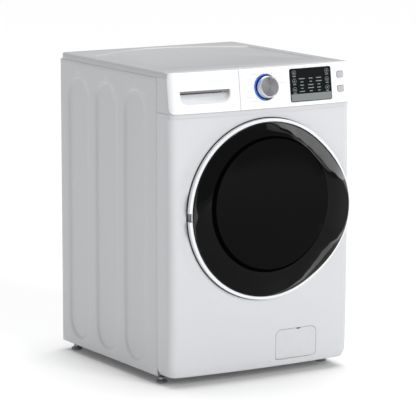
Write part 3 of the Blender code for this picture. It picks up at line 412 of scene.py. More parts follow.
def loft(name, rings, mat, crease=35.0, closed=False):
    """A solid through rings of equal length: capped, or closed on itself like a tyre."""
    n = len(rings[0])
    verts = [p for ring in rings for p in ring]
    faces = [] if closed else [tuple(range(n)), tuple(range((len(rings) - 1) * n, len(rings) * n))]
    for r in range(len(rings) if closed else len(rings) - 1):
        following = (r + 1) % len(rings)
        for i in range(n):
            j = (i + 1) % n
            faces.append((r * n + i, r * n + j, following * n + j, following * n + i))
    return mesh_object(name, verts, faces, mat, crease)


def block(name, low, high, mat, edge=0.0015):
    """A box with rounded upright edges and softened top and bottom."""
    x0, x1, y0, y1, z0, z1 = low[0], high[0], low[1], high[1], low[2], high[2]
    edge = min(edge, (x1 - x0) * 0.45, (y1 - y0) * 0.45, (z1 - z0) * 0.45)
    levels = ((z0, edge), (z0 + edge * 0.3, edge * 0.3), (z0 + edge, 0.0),
              (z1 - edge, 0.0), (z1 - edge * 0.3, edge * 0.3), (z1, edge))
    plans = [rounded_rectangle(x0 + inset, x1 - inset, y0 + inset, y1 - inset,
                               max(edge * 1.01 - inset, edge * 0.2), 3) for _, inset in levels]
    return loft(name, [[(x, y, z) for x, y in plan] for plan, (z, _) in zip(plans, levels)], mat, 40.0)


def screw(at, radius, mat, height=0.0016):
    """A cross-recess screw head that faces +Y."""
    x, y, z = at
    profile = [(0, -0.001), (radius, -0.001), (radius, height * 0.4), (radius * 0.8, height * 0.85),
               (radius * 0.45, height), (0, height)]
    head = turned("screw", profile, 16, mat, at)
    for wide, tall in ((radius, radius * 0.24), (radius * 0.24, radius)):
        carve(head, block("cutter", (x - wide / 2, y + height * 0.4, z - tall / 2),
                          (x + wide / 2, y + height * 2, z + tall / 2), mat, 0.0001))
    return head


# ---------------------------------------------------------------- materials
def shader_of(mat):
    return mat.node_tree.nodes["Principled BSDF"]


def principled(name, colour, roughness, metallic=0.0, **sockets):
    mat = bpy.data.materials.new(name)
    mat.use_nodes = True
    inputs = shader_of(mat).inputs
    inputs["Base Color"].default_value = (*colour, 1.0)
    inputs["Roughness"].default_value = roughness
    inputs["Metallic"].default_value = metallic
    for socket, value in sockets.items():
        inputs[socket.replace("_", " ")].default_value = value
    return mat


def node(mat, kind, **values):
    made = mat.node_tree.nodes.new(kind)
    for key, value in values.items():
        if key in made.inputs:
            made.inputs[key].default_value = value
        else:
            setattr(made, key, value)
    return made


def wire(mat, source, output, target, socket):
    mat.node_tree.links.new(source.outputs[output], target.inputs[socket])


def noise_of(mat, scale, detail, stretch, **values):
    """A noise texture in the object's own space, stretched along its axes."""
    place = node(mat, "ShaderNodeTexCoord")
    turn = node(mat, "ShaderNodeMapping", Scale=stretch)
    noise = node(mat, "ShaderNodeTexNoise", Scale=scale, Detail=detail, **values)
    wire(mat, place, "Object", turn, "Vector")
    wire(mat, turn, "Vector", noise, "Vector")
    return noise


def grain(mat, colour, scale, amount, detail=3.0, rough=None, stretch=(1, 1, 1)):
    """Colour, and optionally roughness, that drift a little from place to place."""
    noise = noise_of(mat, scale, detail, stretch, Roughness=0.6)
    mix = node(mat, "ShaderNodeMixRGB", Color1=(*[c * (1 - amount) for c in colour], 1.0),
               Color2=(*[min(1.0, c * (1 + amount)) for c in colour], 1.0))
    wire(mat, noise, "Fac", mix, "Fac")
    wire(mat, mix, "Color", shader_of(mat), "Base Color")
    if rough:
        span = node(mat, "ShaderNodeMapRange")
        span.inputs["To Min"].default_value, span.inputs["To Max"].default_value = rough
        wire(mat, noise, "Fac", span, "Value")
        wire(mat, span, "Result", shader_of(mat), "Roughness")
    return mat


def bump(mat, scale, strength, distance, detail=2.0, stretch=(1, 1, 1)):
    """Fine surface relief: orange peel, moulded texture, brushing or casting."""
    relief = node(mat, "ShaderNodeBump", Strength=strength, Distance=distance)
    wire(mat, noise_of(mat, scale, detail, stretch), "Fac", relief, "Height")
    wire(mat, relief, "Normal", shader_of(mat), "Normal")
    return mat


def plain(name, colour, roughness, scale, amount, rough=None, **sockets):
    """A surface without relief, whose colour drifts by an amount."""
    return grain(principled(name, colour, roughness, **sockets), colour, scale, amount, rough=rough)


def enamel(name, colour, roughness):
    """White stove enamel: satin gloss, faint orange peel and a barely uneven sheen."""
    mat = principled(name, colour, roughness, Coat_Weight=0.25, Coat_Roughness=0.18)
    grain(mat, colour, 9.0, 0.006, rough=(roughness - 0.04, roughness + 0.06))
    return bump(mat, 900.0, 0.06, 0.0002)


def gloss(name, colour, roughness):
    mat = principled(name, colour, roughness, Coat_Weight=0.5, Coat_Roughness=0.08)
    grain(mat, colour, 14.0, 0.005, rough=(roughness * 0.9, roughness * 1.2))
    return bump(mat, 500.0, 0.03, 0.0002)


def moulded(name, colour, roughness=0.5):
    mat = principled(name, colour, roughness)
    grain(mat, colour, 30.0, 0.05, rough=(roughness - 0.06, roughness + 0.08))
    return bump(mat, 2600.0, 0.20, 0.0002)


def rubber(name, colour):
    mat = principled(name, colour, 0.6, Sheen_Weight=0.15)
    grain(mat, colour, 22.0, 0.10, rough=(0.50, 0.72))
    return bump(mat, 1500.0, 0.25, 0.0003)


def brushed(name, colour, roughness, stretch, anisotropy=0.5):
    mat = principled(name, colour, roughness, 1.0, Anisotropic=anisotropy)
    grain(mat, colour, 120.0, 0.07, rough=(roughness - 0.06, roughness + 0.10), stretch=stretch)
    return bump(mat, 400.0, 0.10, 0.0002, stretch=stretch)


def zinc(name, colour, roughness):
    """Zinc plated sheet: cloudy spangle."""
    mat = principled(name, colour, roughness, 0.9)
    grain(mat, colour, 60.0, 0.12, detail=5.0, rough=(roughness - 0.10, roughness + 0.14))
    return bump(mat, 300.0, 0.05, 0.0002)


def cast(name, colour, metallic):
    mat = principled(name, colour, 0.6, metallic)
    grain(mat, colour, 45.0, 0.22, detail=6.0, rough=(0.5, 0.8))
    return bump(mat, 420.0, 0.6, 0.0008, detail=6.0)


PAINT = enamel("cabinet_enamel", (0.51, 0.517, 0.533), 0.36)
# The cabinet's white enamel made darker for the top: painted shade on the upward face.
TOP_ENAMEL_SHADED = enamel("top_enamel_painted_shade", (0.445, 0.453, 0.466), 0.34)
FRONT_PAINT = enamel("front_enamel", (0.53, 0.539, 0.556), 0.33)
REAR_ZINC = zinc("rear_zinc", (0.60, 0.61, 0.63), 0.42)
BASE_STEEL = zinc("base_zinc", (0.30, 0.31, 0.33), 0.5)
FASCIA = gloss("fascia_gloss", (0.775, 0.785, 0.795), 0.18)
RING_WHITE = gloss("ring_white", (0.70, 0.71, 0.725), 0.20)
RING_BLACK = gloss("light_ring_black", (0.01, 0.01, 0.014), 0.18)
FLAP_WHITE = moulded("flap_white", (0.525, 0.534, 0.55), 0.36)
HANDLE_GREY = moulded("handle_grey", (0.16, 0.165, 0.175), 0.36)
# Near black for the back of the handle's slot: painted shade.
SLOT_SHADOW = moulded("slot_painted_shadow", (0.035, 0.036, 0.04))
# The fascia's white made grey for the handle's scoop: painted shade of the recess.
SCOOP_SHADED = moulded("scoop_painted_shade", (0.60, 0.612, 0.635), 0.40)
STRIP_GREY = moulded("display_strip", (0.17, 0.185, 0.185), 0.35)
MARK_GREY = moulded("mark_grey", (0.47, 0.48, 0.50), 0.6)
MARK_PALE = moulded("mark_pale", (0.25, 0.28, 0.30))
BUTTON_GREY = moulded("button_grey", (0.40, 0.41, 0.435), 0.34)
FRAME_GREY = moulded("frame_grey", (0.33, 0.345, 0.37), 0.45)
LIFTER = moulded("lifter_plastic", (0.46, 0.48, 0.50), 0.42)
TUB = moulded("tub_plastic", (0.42, 0.43, 0.43), 0.55)
DAMPER = moulded("damper_plastic", (0.10, 0.105, 0.115), 0.45)
TRAY = moulded("tray_plastic", (0.66, 0.69, 0.73), 0.36)
HOUSING = moulded("housing_plastic", (0.40, 0.42, 0.44))
NYLON = moulded("valve_nylon", (0.64, 0.64, 0.59))
BOARD = moulded("board_green", (0.012, 0.085, 0.04), 0.45)
LOCK = moulded("lock_black", (0.03, 0.031, 0.035), 0.45)
PUMP_GREY = moulded("pump_grey", (0.24, 0.25, 0.27))
KNOB_SIDE = brushed("knob_side", (0.56, 0.57, 0.59), 0.26, (1, 1, 30), 0.4)
HINGE_STEEL = brushed("hinge_steel", (0.52, 0.53, 0.55), 0.30, (1, 1, 12))
DRUM_STEEL = brushed("drum_steel", (0.60, 0.61, 0.62), 0.22, (1, 8, 1))
BEARING = brushed("bearing_steel", (0.50, 0.51, 0.53), 0.25, (1, 20, 1))
SPRING_STEEL = brushed("spring_steel", (0.30, 0.31, 0.33), 0.35, (1, 1, 8))
ALLOY = cast("spider_alloy", (0.50, 0.51, 0.53), 0.85)
IRON = cast("weight_iron", (0.085, 0.085, 0.09), 0.45)
MOTOR_BLACK = cast("motor_black", (0.03, 0.032, 0.036), 0.3)
SEAL = rubber("seal_rubber", (0.17, 0.175, 0.185))
BELT = rubber("belt_rubber", (0.018, 0.018, 0.02))
# Near black for the ring behind the door: painted shadow in the gap round the door.
GAP_SHADOW = rubber("gap_painted_shadow", (0.04, 0.041, 0.045))
FOOT_RUBBER = rubber("foot_rubber", (0.20, 0.205, 0.215))
HOSE = rubber("hose_rubber", (0.035, 0.036, 0.04))
GLAND = rubber("gland_rubber", (0.025, 0.025, 0.028))
COVER_BLACK = plain("cover_black", (0.0018, 0.0019, 0.0022), 0.06, 6.0, 0.2, (0.05, 0.08),
                    Specular_IOR_Level=0.09)
COVER_BAND = plain("cover_band", (0.0008, 0.0008, 0.001), 0.35, 20.0, 0.2, Specular_IOR_Level=0.0)
COVER_WINDOW = plain("cover_window", (0.0012, 0.0013, 0.0016), 0.07, 3.0, 0.25, (0.05, 0.10),
                     Specular_IOR_Level=0.05)
COVER_SLOPE = plain("cover_slope", (0.008, 0.0082, 0.009), 0.10, 8.0, 0.2, (0.08, 0.13))
DISPLAY_BLACK = plain("display_black", (0.005, 0.0055, 0.006), 0.10, 12.0, 0.2, (0.08, 0.13),
                      Specular_IOR_Level=0.15)
# Near black discs for the drum's holes: painted shade seen through them.
HOLE_SHADE = plain("hole_painted_shade", (0.004, 0.004, 0.005), 0.9, 30.0, 0.2)
BLUE_GLOW = plain("light_ring_blue", (0.01, 0.10, 0.62), 0.25, 40.0, 0.10,
                  Emission_Color=(0.01, 0.14, 0.85, 1.0), Emission_Strength=0.55)
GLASS = plain("bowl_glass", (0.50, 0.56, 0.57), 0.05, 6.0, 0.03, Alpha=0.34, Coat_Weight=0.4)
bump(GLASS, 5.0, 0.02, 0.0002)
KNOB_STEEL = plain("knob_steel", (0.36, 0.365, 0.38), 0.27, 60.0, 0.05, (0.24, 0.31), Metallic=1.0,
                   Anisotropic=0.85)
wire(KNOB_STEEL, node(KNOB_STEEL, "ShaderNodeTangent", direction_type="RADIAL", axis="Y"), "Tangent",
     shader_of(KNOB_STEEL), "Tangent")


# ---------------------------------------------------------------- cabinet
def bowed(x, z):
    lip = max(0.0, 1 - (z - PANEL_BOTTOM) / LIP_H)
    across, up = x / BOW_W, (z - FACE_MID_Z) / BOW_H
    return FACE_Y + PLAN_BOW * across ** 2 + TALL_BOW * up ** 2 + LIP_IN * lip ** 2


def panel_y(x, z):
    """The bowed front, raised to a flat collar round the door except by the hinge and the handle."""
    base = bowed(x, z)
    dx, dz = x - DOOR_X, z - DOOR_Z
    raised = 1 - smooth((math.hypot(dx, dz) - COLLAR_R[0]) / (COLLAR_R[1] - COLLAR_R[0]))
    if dx < 0:
        raised *= smooth((abs(dz) - COLLAR_HINGE_Z[0]) / COLLAR_HINGE_Z[1])
    else:
        raised *= smooth((abs(math.atan2(dz, dx)) - COLLAR_HANDLE[0]) / COLLAR_HANDLE[1])
    return base + min(0.0, COLLAR_Y - base) * raised


def fascia_y(x, z):
    return FASCIA_Y + FASCIA_LEAN * (z - FASCIA_REF_Z) + PLAN_BOW * (x / BOW_W) ** 2


def surround_y(x, z):
    """The block behind the console's face: it carries on the front panel's line up to the top."""
    return fascia_y(x, z) + FACE_STEP


def below(surface, x, z, depth):
    """The point at a depth square below a front surface, which gives y at (x, z)."""
    d = 0.0004
    dx = (surface(x + d, z) - surface(x - d, z)) / (2 * d)
    dz = (surface(x, z + d) - surface(x, z - d)) / (2 * d)
    return Vector((x, surface(x, z), z)) - Vector((dx, -1.0, dz)).normalized() * depth


def on_surface(surface):
    """place() for a plate that lies on a front surface."""
    return lambda u, v, depth: below(surface, u, v, depth)


def wrapped(surface, radius):
    """place() for a sheet that follows a front surface and turns back along both sides."""
    edge = HALF_W - radius
    for _ in range(4):
        slope = math.atan(2 * PLAN_BOW * edge / BOW_W ** 2)
        edge = HALF_W - radius * (1 - math.sin(slope))
    length = radius * (math.pi / 2 - slope)

    def place(u, v, depth):
        side = -1 if u < 0 else 1
        away = abs(u)
        if away <= edge:
            return below(surface, u, v, depth)
        x = edge - radius * math.sin(slope)
        y = surface(side * edge, v) + radius * math.cos(slope)
        if away <= edge + length:
            turn = slope + (away - edge) / radius
            r = radius - depth
            return Vector((side * (x + r * math.sin(turn)), y - r * math.cos(turn), v))
        t = min(1.0, (away - edge - length) / RETURN)
        return Vector((side * (HALF_W - depth), y + (SEAM_Y - 0.0004 - y) * t, v))
    place.reach = edge + length + RETURN
    return place


def make_front_panel():
    wrap = wrapped(panel_y, CORNER_R)

    def place(u, v, depth):
        point = wrap(u, v, depth)
        point.x *= 1 - TUCK_IN * max(0.0, 1 - (v - PANEL_BOTTOM) / TUCK_H) ** 2 / HALF_W
        return point
    reach, top = wrap.reach, FASCIA_BOTTOM - 0.0014
    outline = [(-reach, PANEL_BOTTOM), (reach, PANEL_BOTTOM), (reach, top), (-reach, top)]
    low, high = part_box("filter_flap")
    flap = rounded_rectangle(low.x - 0.0009, high.x + 0.0009, low.z - 0.0017, high.z + 0.0009,
                             (0.0125, 0.0205, 0.0205, 0.0125))
    low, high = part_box("door_hook")
    slot = rounded_rectangle(low.x - 0.006, high.x + 0.006, AXIS_Z - 0.0155, AXIS_Z + 0.0155, 0.003)
    panel = plate("front_panel_looks", outline, place, SHEET, FRONT_PAINT, spacing=(0.011, 0.011),
                  holes=(circle(AXIS_X, AXIS_Z, PORT_R, 120), flap, slot), rounding=0.0009, steps=2)
    flange = side_block("flange", -1.0, 1.0, 0.0016, [PANEL_TOP - 0.006, FASCIA_BOTTOM + 0.0016])
    add(merged("front_panel_looks", [panel, flange]), "cabinet", "front_paint", "front_panel")


def make_door_gap_shadow():
    """A dark ring on the panel behind the door's ring, painted shadow of the gap between them. It draws in
    where the panel falls back.
    """
    def panel_at(radius, angle):
        return panel_y(DOOR_X + radius * math.cos(angle), DOOR_Z + radius * math.sin(angle))

    def inner(angle):
        return RING_R - 0.0085

    def outer(angle):
        setback = max(0.0, panel_at(RING_R, angle) - COLLAR_Y)
        return RING_R + 0.003 - 0.6 * min(setback, 0.009)
    rings = [door_loop(r, lambda a, r=r, out=out: panel_at(r(a), a) - out)
             for r, out in ((inner, 0.0006), (outer, 0.0006), (outer, -0.0004), (inner, -0.0004))]
    add(loft("door_gap_looks", rings, GAP_SHADOW, closed=True), "cabinet", "front_paint")


def make_side(name, side):
    """A side panel with three tall pressed ovals and a folded edge at the front and the back."""
    low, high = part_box(name)
    middle_z, width, height = 0.5035, 0.143, 0.901
    ovals = [press(oval(y, middle_z, width, height), 0.0105, 0.0062) for y in (0.278, 0.089, -0.103)]
    sheet = plate("sheet", rounded_rectangle(low.y, high.y, low.z, high.z, 0.0008, 2),
                  lambda u, v, depth: Vector((side * (HALF_W - depth), u, v)), SHEET, PAINT,
                  presses=ovals, spacing=(0.02, 0.03), rounding=0.0009, steps=2, crease=40.0)
    x0, x1 = sorted((side * (HALF_W - 0.0013), side * (HALF_W - 0.003)))
    hems = [block("hem", (x0, y0, low.z + 0.001), (x1, y1, high.z - 0.001), PAINT, 0.0005)
            for y0, y1 in ((low.y + 0.0002, low.y + 0.012), (high.y - 0.016, high.y - 0.0002))]
    add(merged(name + "_looks", [sheet, *hems]), "cabinet", "cabinet_paint", name)


def rolled(degrees):
    """Height and inset at some turns of the top's rolled edge."""
    turns = [math.radians(a) for a in degrees]
    return [(TOP_Z - TOP_ROLL * (1 - math.sin(a)), TOP_ROLL * (1 - math.cos(a))) for a in turns]


def by_rays(loop, centre, count=168):
    """Where evenly spaced rays from a centre leave a loop, so that unlike loops can be joined."""
    start = loop - centre
    end = np.roll(loop, -1, axis=0) - centre
    out = []
    for k in range(count):
        angle = 2 * math.pi * (k + 0.5) / count
        ray = np.array([math.cos(angle), math.sin(angle)])
        a = ray[0] * start[:, 1] - ray[1] * start[:, 0]
        b = ray[0] * end[:, 1] - ray[1] * end[:, 0]
        hit = np.where((a <= 0) != (b <= 0))[0]
        points = start[hit] + (end[hit] - start[hit]) * (a[hit] / (a[hit] - b[hit]))[:, None]
        out.append(tuple(points[(points @ ray).argmax()] + centre))
    return out


def make_top():
    """The worktop: a pan with rolled edges round a shallow dish, open below."""
    low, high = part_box("top_cover")
    centre_y = 0.05
    loops = []
    for z, inset in [(low.z, 0.0), (low.z + 0.0008, 0.0), *rolled(range(0, 91, 15))]:
        x, back_r = HALF_W - inset, max(0.004, 0.014 - inset)
        rim = rounded_rectangle(-x, x, low.y + inset * 0.6, high.y - inset, (0.006, back_r, back_r, 0.006))
        loops.append((z, oriented(rim, 1)))
    dish = [(-DISH_HALF_W, -0.1825), (DISH_HALF_W, -0.1825)]
    dish += [(DISH_HALF_W * (1 - k / 20), 0.24 + 0.1225 * math.sin(math.pi * k / 40)) for k in range(41)]
    dish = oriented(soft_corners(dish, 0.01), 1)
    for drop, inset in ((0.0, 0.0), (0.0006, 0.0015), (0.0034, 0.004), (0.004, 0.0055)):
        loops.append((TOP_Z - drop, shifted(dish, inset)))
    rings = [[(x, y, z) for x, y in by_rays(loop, (0.0, centre_y))] for z, loop in loops]

    shrink = 1 - SHEET / 0.35
    under = [[(x * shrink, centre_y + (y - centre_y) * shrink, z - SHEET) for x, y, z in ring]
             for ring in reversed(rings)]
    for ring, z in ((-1, low.z), (-2, low.z + 0.001)):
        under[ring] = [(x, y, z) for x, y, _ in under[ring]]
    # The top is drawn in the darker enamel, which is painted shade.
    add(loft("top_cover_looks", under + rings, TOP_ENAMEL_SHADED, 50.0), "cabinet", "cabinet_paint", "top_cover")


def rear_sheet(name, node_name, corner, thickness, places, head, sink=0.0, **options):
    """A pressed sheet on the back, with its screws."""
    low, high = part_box(node_name)
    sheet = plate(name, rounded_rectangle(low.x, high.x, low.z, high.z, corner),
                  lambda u, v, depth: Vector((-u, high.y - depth, v)), thickness, REAR_ZINC,
                  spacing=(0.03, 0.03), crease=40.0, **options)
    screws = [screw((x, high.y - sink, z), head, REAR_ZINC) for x, z in places]
    add(merged(name, [sheet, *screws]), "cabinet", "cabinet_paint", node_name)


def make_rear():
    holes = [circle(0.0, 0.50, 0.205, 72), rounded_rectangle(-0.305, -0.195, 0.925, 0.985, 0.006),
             circle(0.24, 0.925, 0.019, 36), circle(0.29, 0.965, 0.0105, 36)]
    ribs = [(0.0, z + 0.009, 0.58, 0.018, 0.0089) for z in (0.075, 0.115, 0.155, 0.195, 0.805, 0.845)]
    ribs += [(side * 0.285, 0.50, 0.024, 0.48, 0.0119) for side in (-1, 1)]
    places = [(x, z) for x in (-0.325, -0.11, 0.11, 0.325) for z in (0.055, 0.985)]
    places += [(x, z) for z in (0.30, 0.50, 0.70) for x in (-0.325, 0.325)]
    rear_sheet("rear_panel_looks", "rear_panel", 0.003, 0.001, places, 0.004, holes=holes, rounding=0.0004,
               steps=1, presses=[press(around(*rib, 8), 0.005, 0.0022) for rib in ribs])
    louvres = [press(around(0.0, 0.366 + 0.04 * k, 0.24, 0.012, 0.0059, 6), 0.003, 0.001) for k in range(8)]
    places = [(x, z) for x in (-0.205, 0.0, 0.205) for z in (0.295, 0.705)]
    rear_sheet("rear_cover_looks", "rear_access_cover", 0.02, 0.0008, places, 0.0038, 0.0006,
               presses=louvres, rounding=0.0006, steps=2)


def make_foot(name):
    low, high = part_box(name)
    x, y = (low.x + high.x) / 2, (low.y + high.y) / 2
    pad = turned(name + "_pad", [(0, 0), (0.017, 0), (0.0186, 0.0012), (0.019, 0.003), (0.0186, 0.0062),
                                 (0.0168, 0.0082), (0.012, 0.01), (0, 0.01)],
                 40, FOOT_RUBBER, (x, y, 0), "Z")
    add(pad, name, "foot_rubber", name)
    corners = [math.radians(60 * k + 10) for k in range(6)]
    nut_top = 0.0196
    nut = loft("nut", [[(x + r * math.cos(a), y + r * math.sin(a), z) for a in corners] for z, r in
                       ((0.0104, 0.01), (0.0112, 0.0112), (0.0186, 0.0112), (nut_top, 0.01))],
               SPRING_STEEL, 20.0)
    thread, pitch = [(0, 0.0095), (0.0048, 0.0095)], 0.0012
    z = nut_top
    while z < high.z - pitch:
        thread += [(0.0046, z), (0.005, z + pitch / 2)]
        z += pitch
    thread += [(0.0042, high.z - 0.0004), (0, high.z - 0.0004)]
    stud = turned("stud", thread, 16, SPRING_STEEL, (x, y, 0), "Z", 60.0)
    add(merged(name + "_stud", [nut, stud]), name, "steel_grey")


# ---------------------------------------------------------------- console
def side_block(name, x_from, x_to, depth=0.0006, levels=None):
    """The surround from its front face back to the seam, with the wrapped corner on its outer side."""
    place = wrapped(surround_y, SURROUND_R)
    u0, u1 = max(x_from, -place.reach), min(x_to, place.reach)
    steps = 64

    def line(start, end, z, below_face):
        points = [place(start + (end - start) * k / steps, z, below_face) for k in range(steps + 1)]
        for point in points:
            if z > SIDE_TOP:
                point.y = min(point.y, TOP_GAP_Y)
        return points
    if levels:
        levels = [(z, 0.0) for z in levels]
    else:
        straight = (FASCIA_BOTTOM, FASCIA_BOTTOM + 0.0008, 0.92, 0.95, 0.98, SIDE_TOP, SIDE_TOP + 0.0002)
        levels = [(z, 0.0) for z in straight] + rolled(range(0, 81, 20))
    rings = [line(u0, u1, z, depth + inset) + line(u1, u0, z, depth + 0.0018 + inset) for z, inset in levels]
    return loft(name, rings, PAINT)


def strip(x_from, x_to, z_from, z_to, front, back):
    """A level strip with a front edge that follows the surround."""
    xs = [x_from + (x_to - x_from) * k / 24 for k in range(25)]
    rings = [[(x, surround_y(x, z) + front, z) for x in xs] + [(x_to, back, z), (x_from, back, z)]
             for z in (z_from, z_to)]
    return loft("strip", rings, FASCIA, 30.0)


def console_part(x_from, x_to, corners, holes, block_span, top_span, foot_span):
    """A length of the console: its face, the surround at its end, and strips along its top and its foot."""
    place = wrapped(fascia_y, FACE_WRAP_R)
    end = place.reach - RETURN - 0.001
    outline = rounded_rectangle(max(x_from, -end), min(x_to, end), FASCIA_BOTTOM, FASCIA_TOP, corners, 8)
    face = plate("face", outline, place, FACE_STEP + 0.0012, FASCIA, holes=holes, spacing=(0.0055, 0.01),
                 rounding=0.0026)
    return [face, side_block("surround", *block_span),
            strip(*top_span, TOP_Z - 0.005, TOP_Z - 0.0014, -0.004, TOP_GAP_Y),
            strip(*foot_span, FASCIA_BOTTOM + 0.0002, FASCIA_BOTTOM + 0.0028, -0.0004, TOP_FRONT_Y)]


def on_console(name, outline, out, thickness, mat, spacing, rounding, steps, holes=()):
    """A plate on the console's leaning face, whose front stands out by a distance."""
    return plate(name, outline, on_surface(lambda x, z: fascia_y(x, z) - out), thickness, mat, holes=holes,
                 spacing=spacing, rounding=rounding, steps=steps)


def make_drawer_front():
    x_end = FASCIA_SPLIT_X - FASCIA_GAP
    handle = rounded_rectangle(*HANDLE_X, *HANDLE_Z, (HANDLE_R, 0.002, 0.002, HANDLE_R), 8)
    pieces = console_part(-1.0, x_end, (0.003, 0.003, 0.015, FASCIA_CORNER_R), (handle,), (-1.0, -SURROUND_X),
                          (-0.32, x_end), (-STRIP_X, x_end))
    add(merged("drawer_front_looks", pieces), "drawer", "fascia_gloss", "drawer_front")


def make_drawer_handle():
    """The recess in the drawer's face: a scooped floor whose grey is painted shade, a dark block at its back
    that paints the shade in the slot, and a rail above it.
    """
    (x0, x1), (z0, z1) = HANDLE_X, HANDLE_Z
    back_y = -0.3192
    outline = rounded_rectangle(x0 - 0.001, x1 + 0.001, z0 - 0.0025, z1 + 0.0025,
                                (HANDLE_R + 0.001, 0.002, 0.002, HANDLE_R + 0.001), 8)
    scoop = plate("drawer_handle_looks", outline, on_surface(fascia_y),
                  lambda u, v, d: back_y - fascia_y(u, v), SCOOP_SHADED, spacing=(0.008, 0.01),
                  rounding=0.0004, steps=1)
    scoop.data.transform(Matrix.Translation((0.0, 0.0021, 0.0)))
    mouth_y = -0.375
    rings = []
    for y, low, r in ((mouth_y, z0, 0.026), (-0.3545, 0.924, 0.025), (-0.349, 0.9275, 0.023),
                      (-0.342, 0.9345, 0.019), (-0.335, 0.9425, 0.015), (-0.329, 0.95, 0.01),
                      (-0.3235, 0.955, 0.003)):
        taper = (y - mouth_y) * 0.06
        opening = rounded_rectangle(x0 + taper, x1 - taper, low, z1, (r, 0.0019, 0.0019, r), 8)
        rings.append([(x, y, z) for x, z in opening])
    carve(scoop, loft("cutter", rings, SCOOP_SHADED))
    add(scoop, "drawer", "fascia_gloss")
    slot_low, slot_high = (-0.305, -0.327, 0.949), (-0.148, -0.3228, 0.962)
    add(block("drawer_slot_looks", slot_low, slot_high, SLOT_SHADOW, 0.0006), "drawer", "fascia_gloss")
    outline = rounded_rectangle(x0 + 0.0005, x1 - 0.0005, 0.9575, 0.9638, 0.0012, 2)
    add(on_console("drawer_rail_looks", outline, -0.003, 0.006, HANDLE_GREY, (0.008, 0.004), 0.001, 2),
        "drawer", "fascia_gloss")


def make_drawer_tray():
    """The tray with its three cells."""
    low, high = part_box("drawer_tray")
    tray = block("drawer_tray_looks", low, high, TRAY, 0.003)
    for x0, x1, z0 in ((-0.3215, -0.228, 0.9035), (-0.226, -0.17, 0.9005), (-0.168, -0.111, 0.9005)):
        rings = []
        for z, inset in ((z0, 0.004), (z0 + 0.0015, 0.0012), (z0 + 0.004, 0.0), (high.z + 0.01, 0.0)):
            plan = rounded_rectangle(x0 + inset, x1 - inset, -0.31 + inset, -0.002 - inset, 0.006, 4)
            rings.append([(x, y, z) for x, y in plan])
        carve(tray, loft("cutter", rings, TRAY))
    add(tray, "drawer", "tray_plastic", "drawer_tray")


def dash(x, z, width, height, mat=MARK_GREY, out=0.0002):
    """A short raised mark on the console."""
    outline = around(x, z, width, height, min(width, height) * 0.45, 2)
    return on_console("mark", outline, out, 0.0003, mat, (0.004, 0.004), 0.00004, 1)


def make_control_fascia():
    x0, x1, z0, z1 = DISPLAY
    window = rounded_rectangle(x0 - 0.0005, x1 + 0.0005, z0 - 0.0005, z1 + 0.0005, 0.0062, 5)
    keys = [around(KEY_X, z, 0.0272, 0.021, 0.0048, 5) for _, _, z in KEYS]
    x_start = FASCIA_SPLIT_X + FASCIA_GAP
    pieces = console_part(x_start, 1.0, (FASCIA_CORNER_R, 0.008, 0.003, 0.003),
                          (window, circle(KNOB_X, KNOB_Z, KNOB_SEAT_R, 72), *keys), (SURROUND_X, 1.0),
                          (x_start, STRIP_X), (x_start, STRIP_X))
    add(merged("control_fascia_looks", pieces), "cabinet", "fascia_gloss", "control_fascia")


def make_display():
    """The dark window, with a grey strip along its foot, columns of dashes and touch keys on both sides."""
    x0, x1, z0, _ = DISPLAY
    glass = on_console("display_window_looks", rounded_rectangle(*DISPLAY, 0.0058, 5), 0.0004, 0.0028,
                       DISPLAY_BLACK, (0.008, 0.008), 0.0006, 2)
    add(glass, "cabinet", "display_black", "display_window")
    outline = rounded_rectangle(x0 + 0.0015, x1 - 0.0015, z0 + 0.0015, 0.931,
                                (0.0045, 0.001, 0.001, 0.0045), 4)
    lower = on_console("display_strip_looks", outline, 0.0005, 0.0004, STRIP_GREY, (0.008, 0.008), 0.0001, 1)
    add(lower, "cabinet", "display_black")

    marks = []
    lit = (MARK_PALE, 0.0006)
    widths = (0.0235, 0.0115, 0.015, 0.01, 0.021)
    for column, x in enumerate((0.144, 0.179, 0.2115)):
        for row, z in enumerate((0.9795, 0.969, 0.9585, 0.9485, 0.9385)):
            marks.append(dash(x, z, widths[(row + column * 2) % 5], 0.0022, *lit))
    for x, zs in ((0.1145, (0.9985, 0.972, 0.945)), (0.245, (0.9985, 0.9715, 0.945))):
        for z in zs:
            marks.append(on_console("outline", circle(x, z + 0.001, 0.0078, 36), 0.00058, 0.0003, MARK_PALE,
                                    (0.004, 0.004), 0.00003, 1, (circle(x, z + 0.001, 0.0069, 36),)))
            marks.append(dash(x, z + 0.0005, 0.0046, 0.0046, *lit))
            marks.append(dash(x, z - 0.0105, 0.013, 0.0018, *lit))
    add(merged("display_marks_looks", marks), "cabinet", "display_black")


def make_console_marks():
    """Dots and lines round the knob, and a line below each key."""
    marks = []
    rows = ((58, 0.03), (36, 0.024), (13, 0.027), (-12, 0.022), (-35, 0.026), (-57, 0.023))
    for side, dot in ((-1, MARK_GREY), (1, HANDLE_GREY)):
        for angle, length in rows:
            x = KNOB_X + side * 0.05 * math.cos(math.radians(angle))
            z = KNOB_Z + 0.05 * math.sin(math.radians(angle))
            marks.append(dash(x, z, 0.0024, 0.0024, dot))
            marks.append(dash(x + side * (0.0065 + length / 2), z, length, 0.0015))
    marks += [dash(KEY_X, z - 0.0165, 0.01, 0.0014) for _, _, z in KEYS]
    add(merged("console_marks_looks", marks), "cabinet", "fascia_gloss")


def make_keys():
    for name, body, z in KEYS:
        key = on_console(name + "_looks", around(KEY_X, z, 0.0256, 0.0194, 0.0042, 5), 0.0017, 0.008,
                         BUTTON_GREY, (0.004, 0.004), 0.0016, 4)
        add(key, body, "button_grey", name)


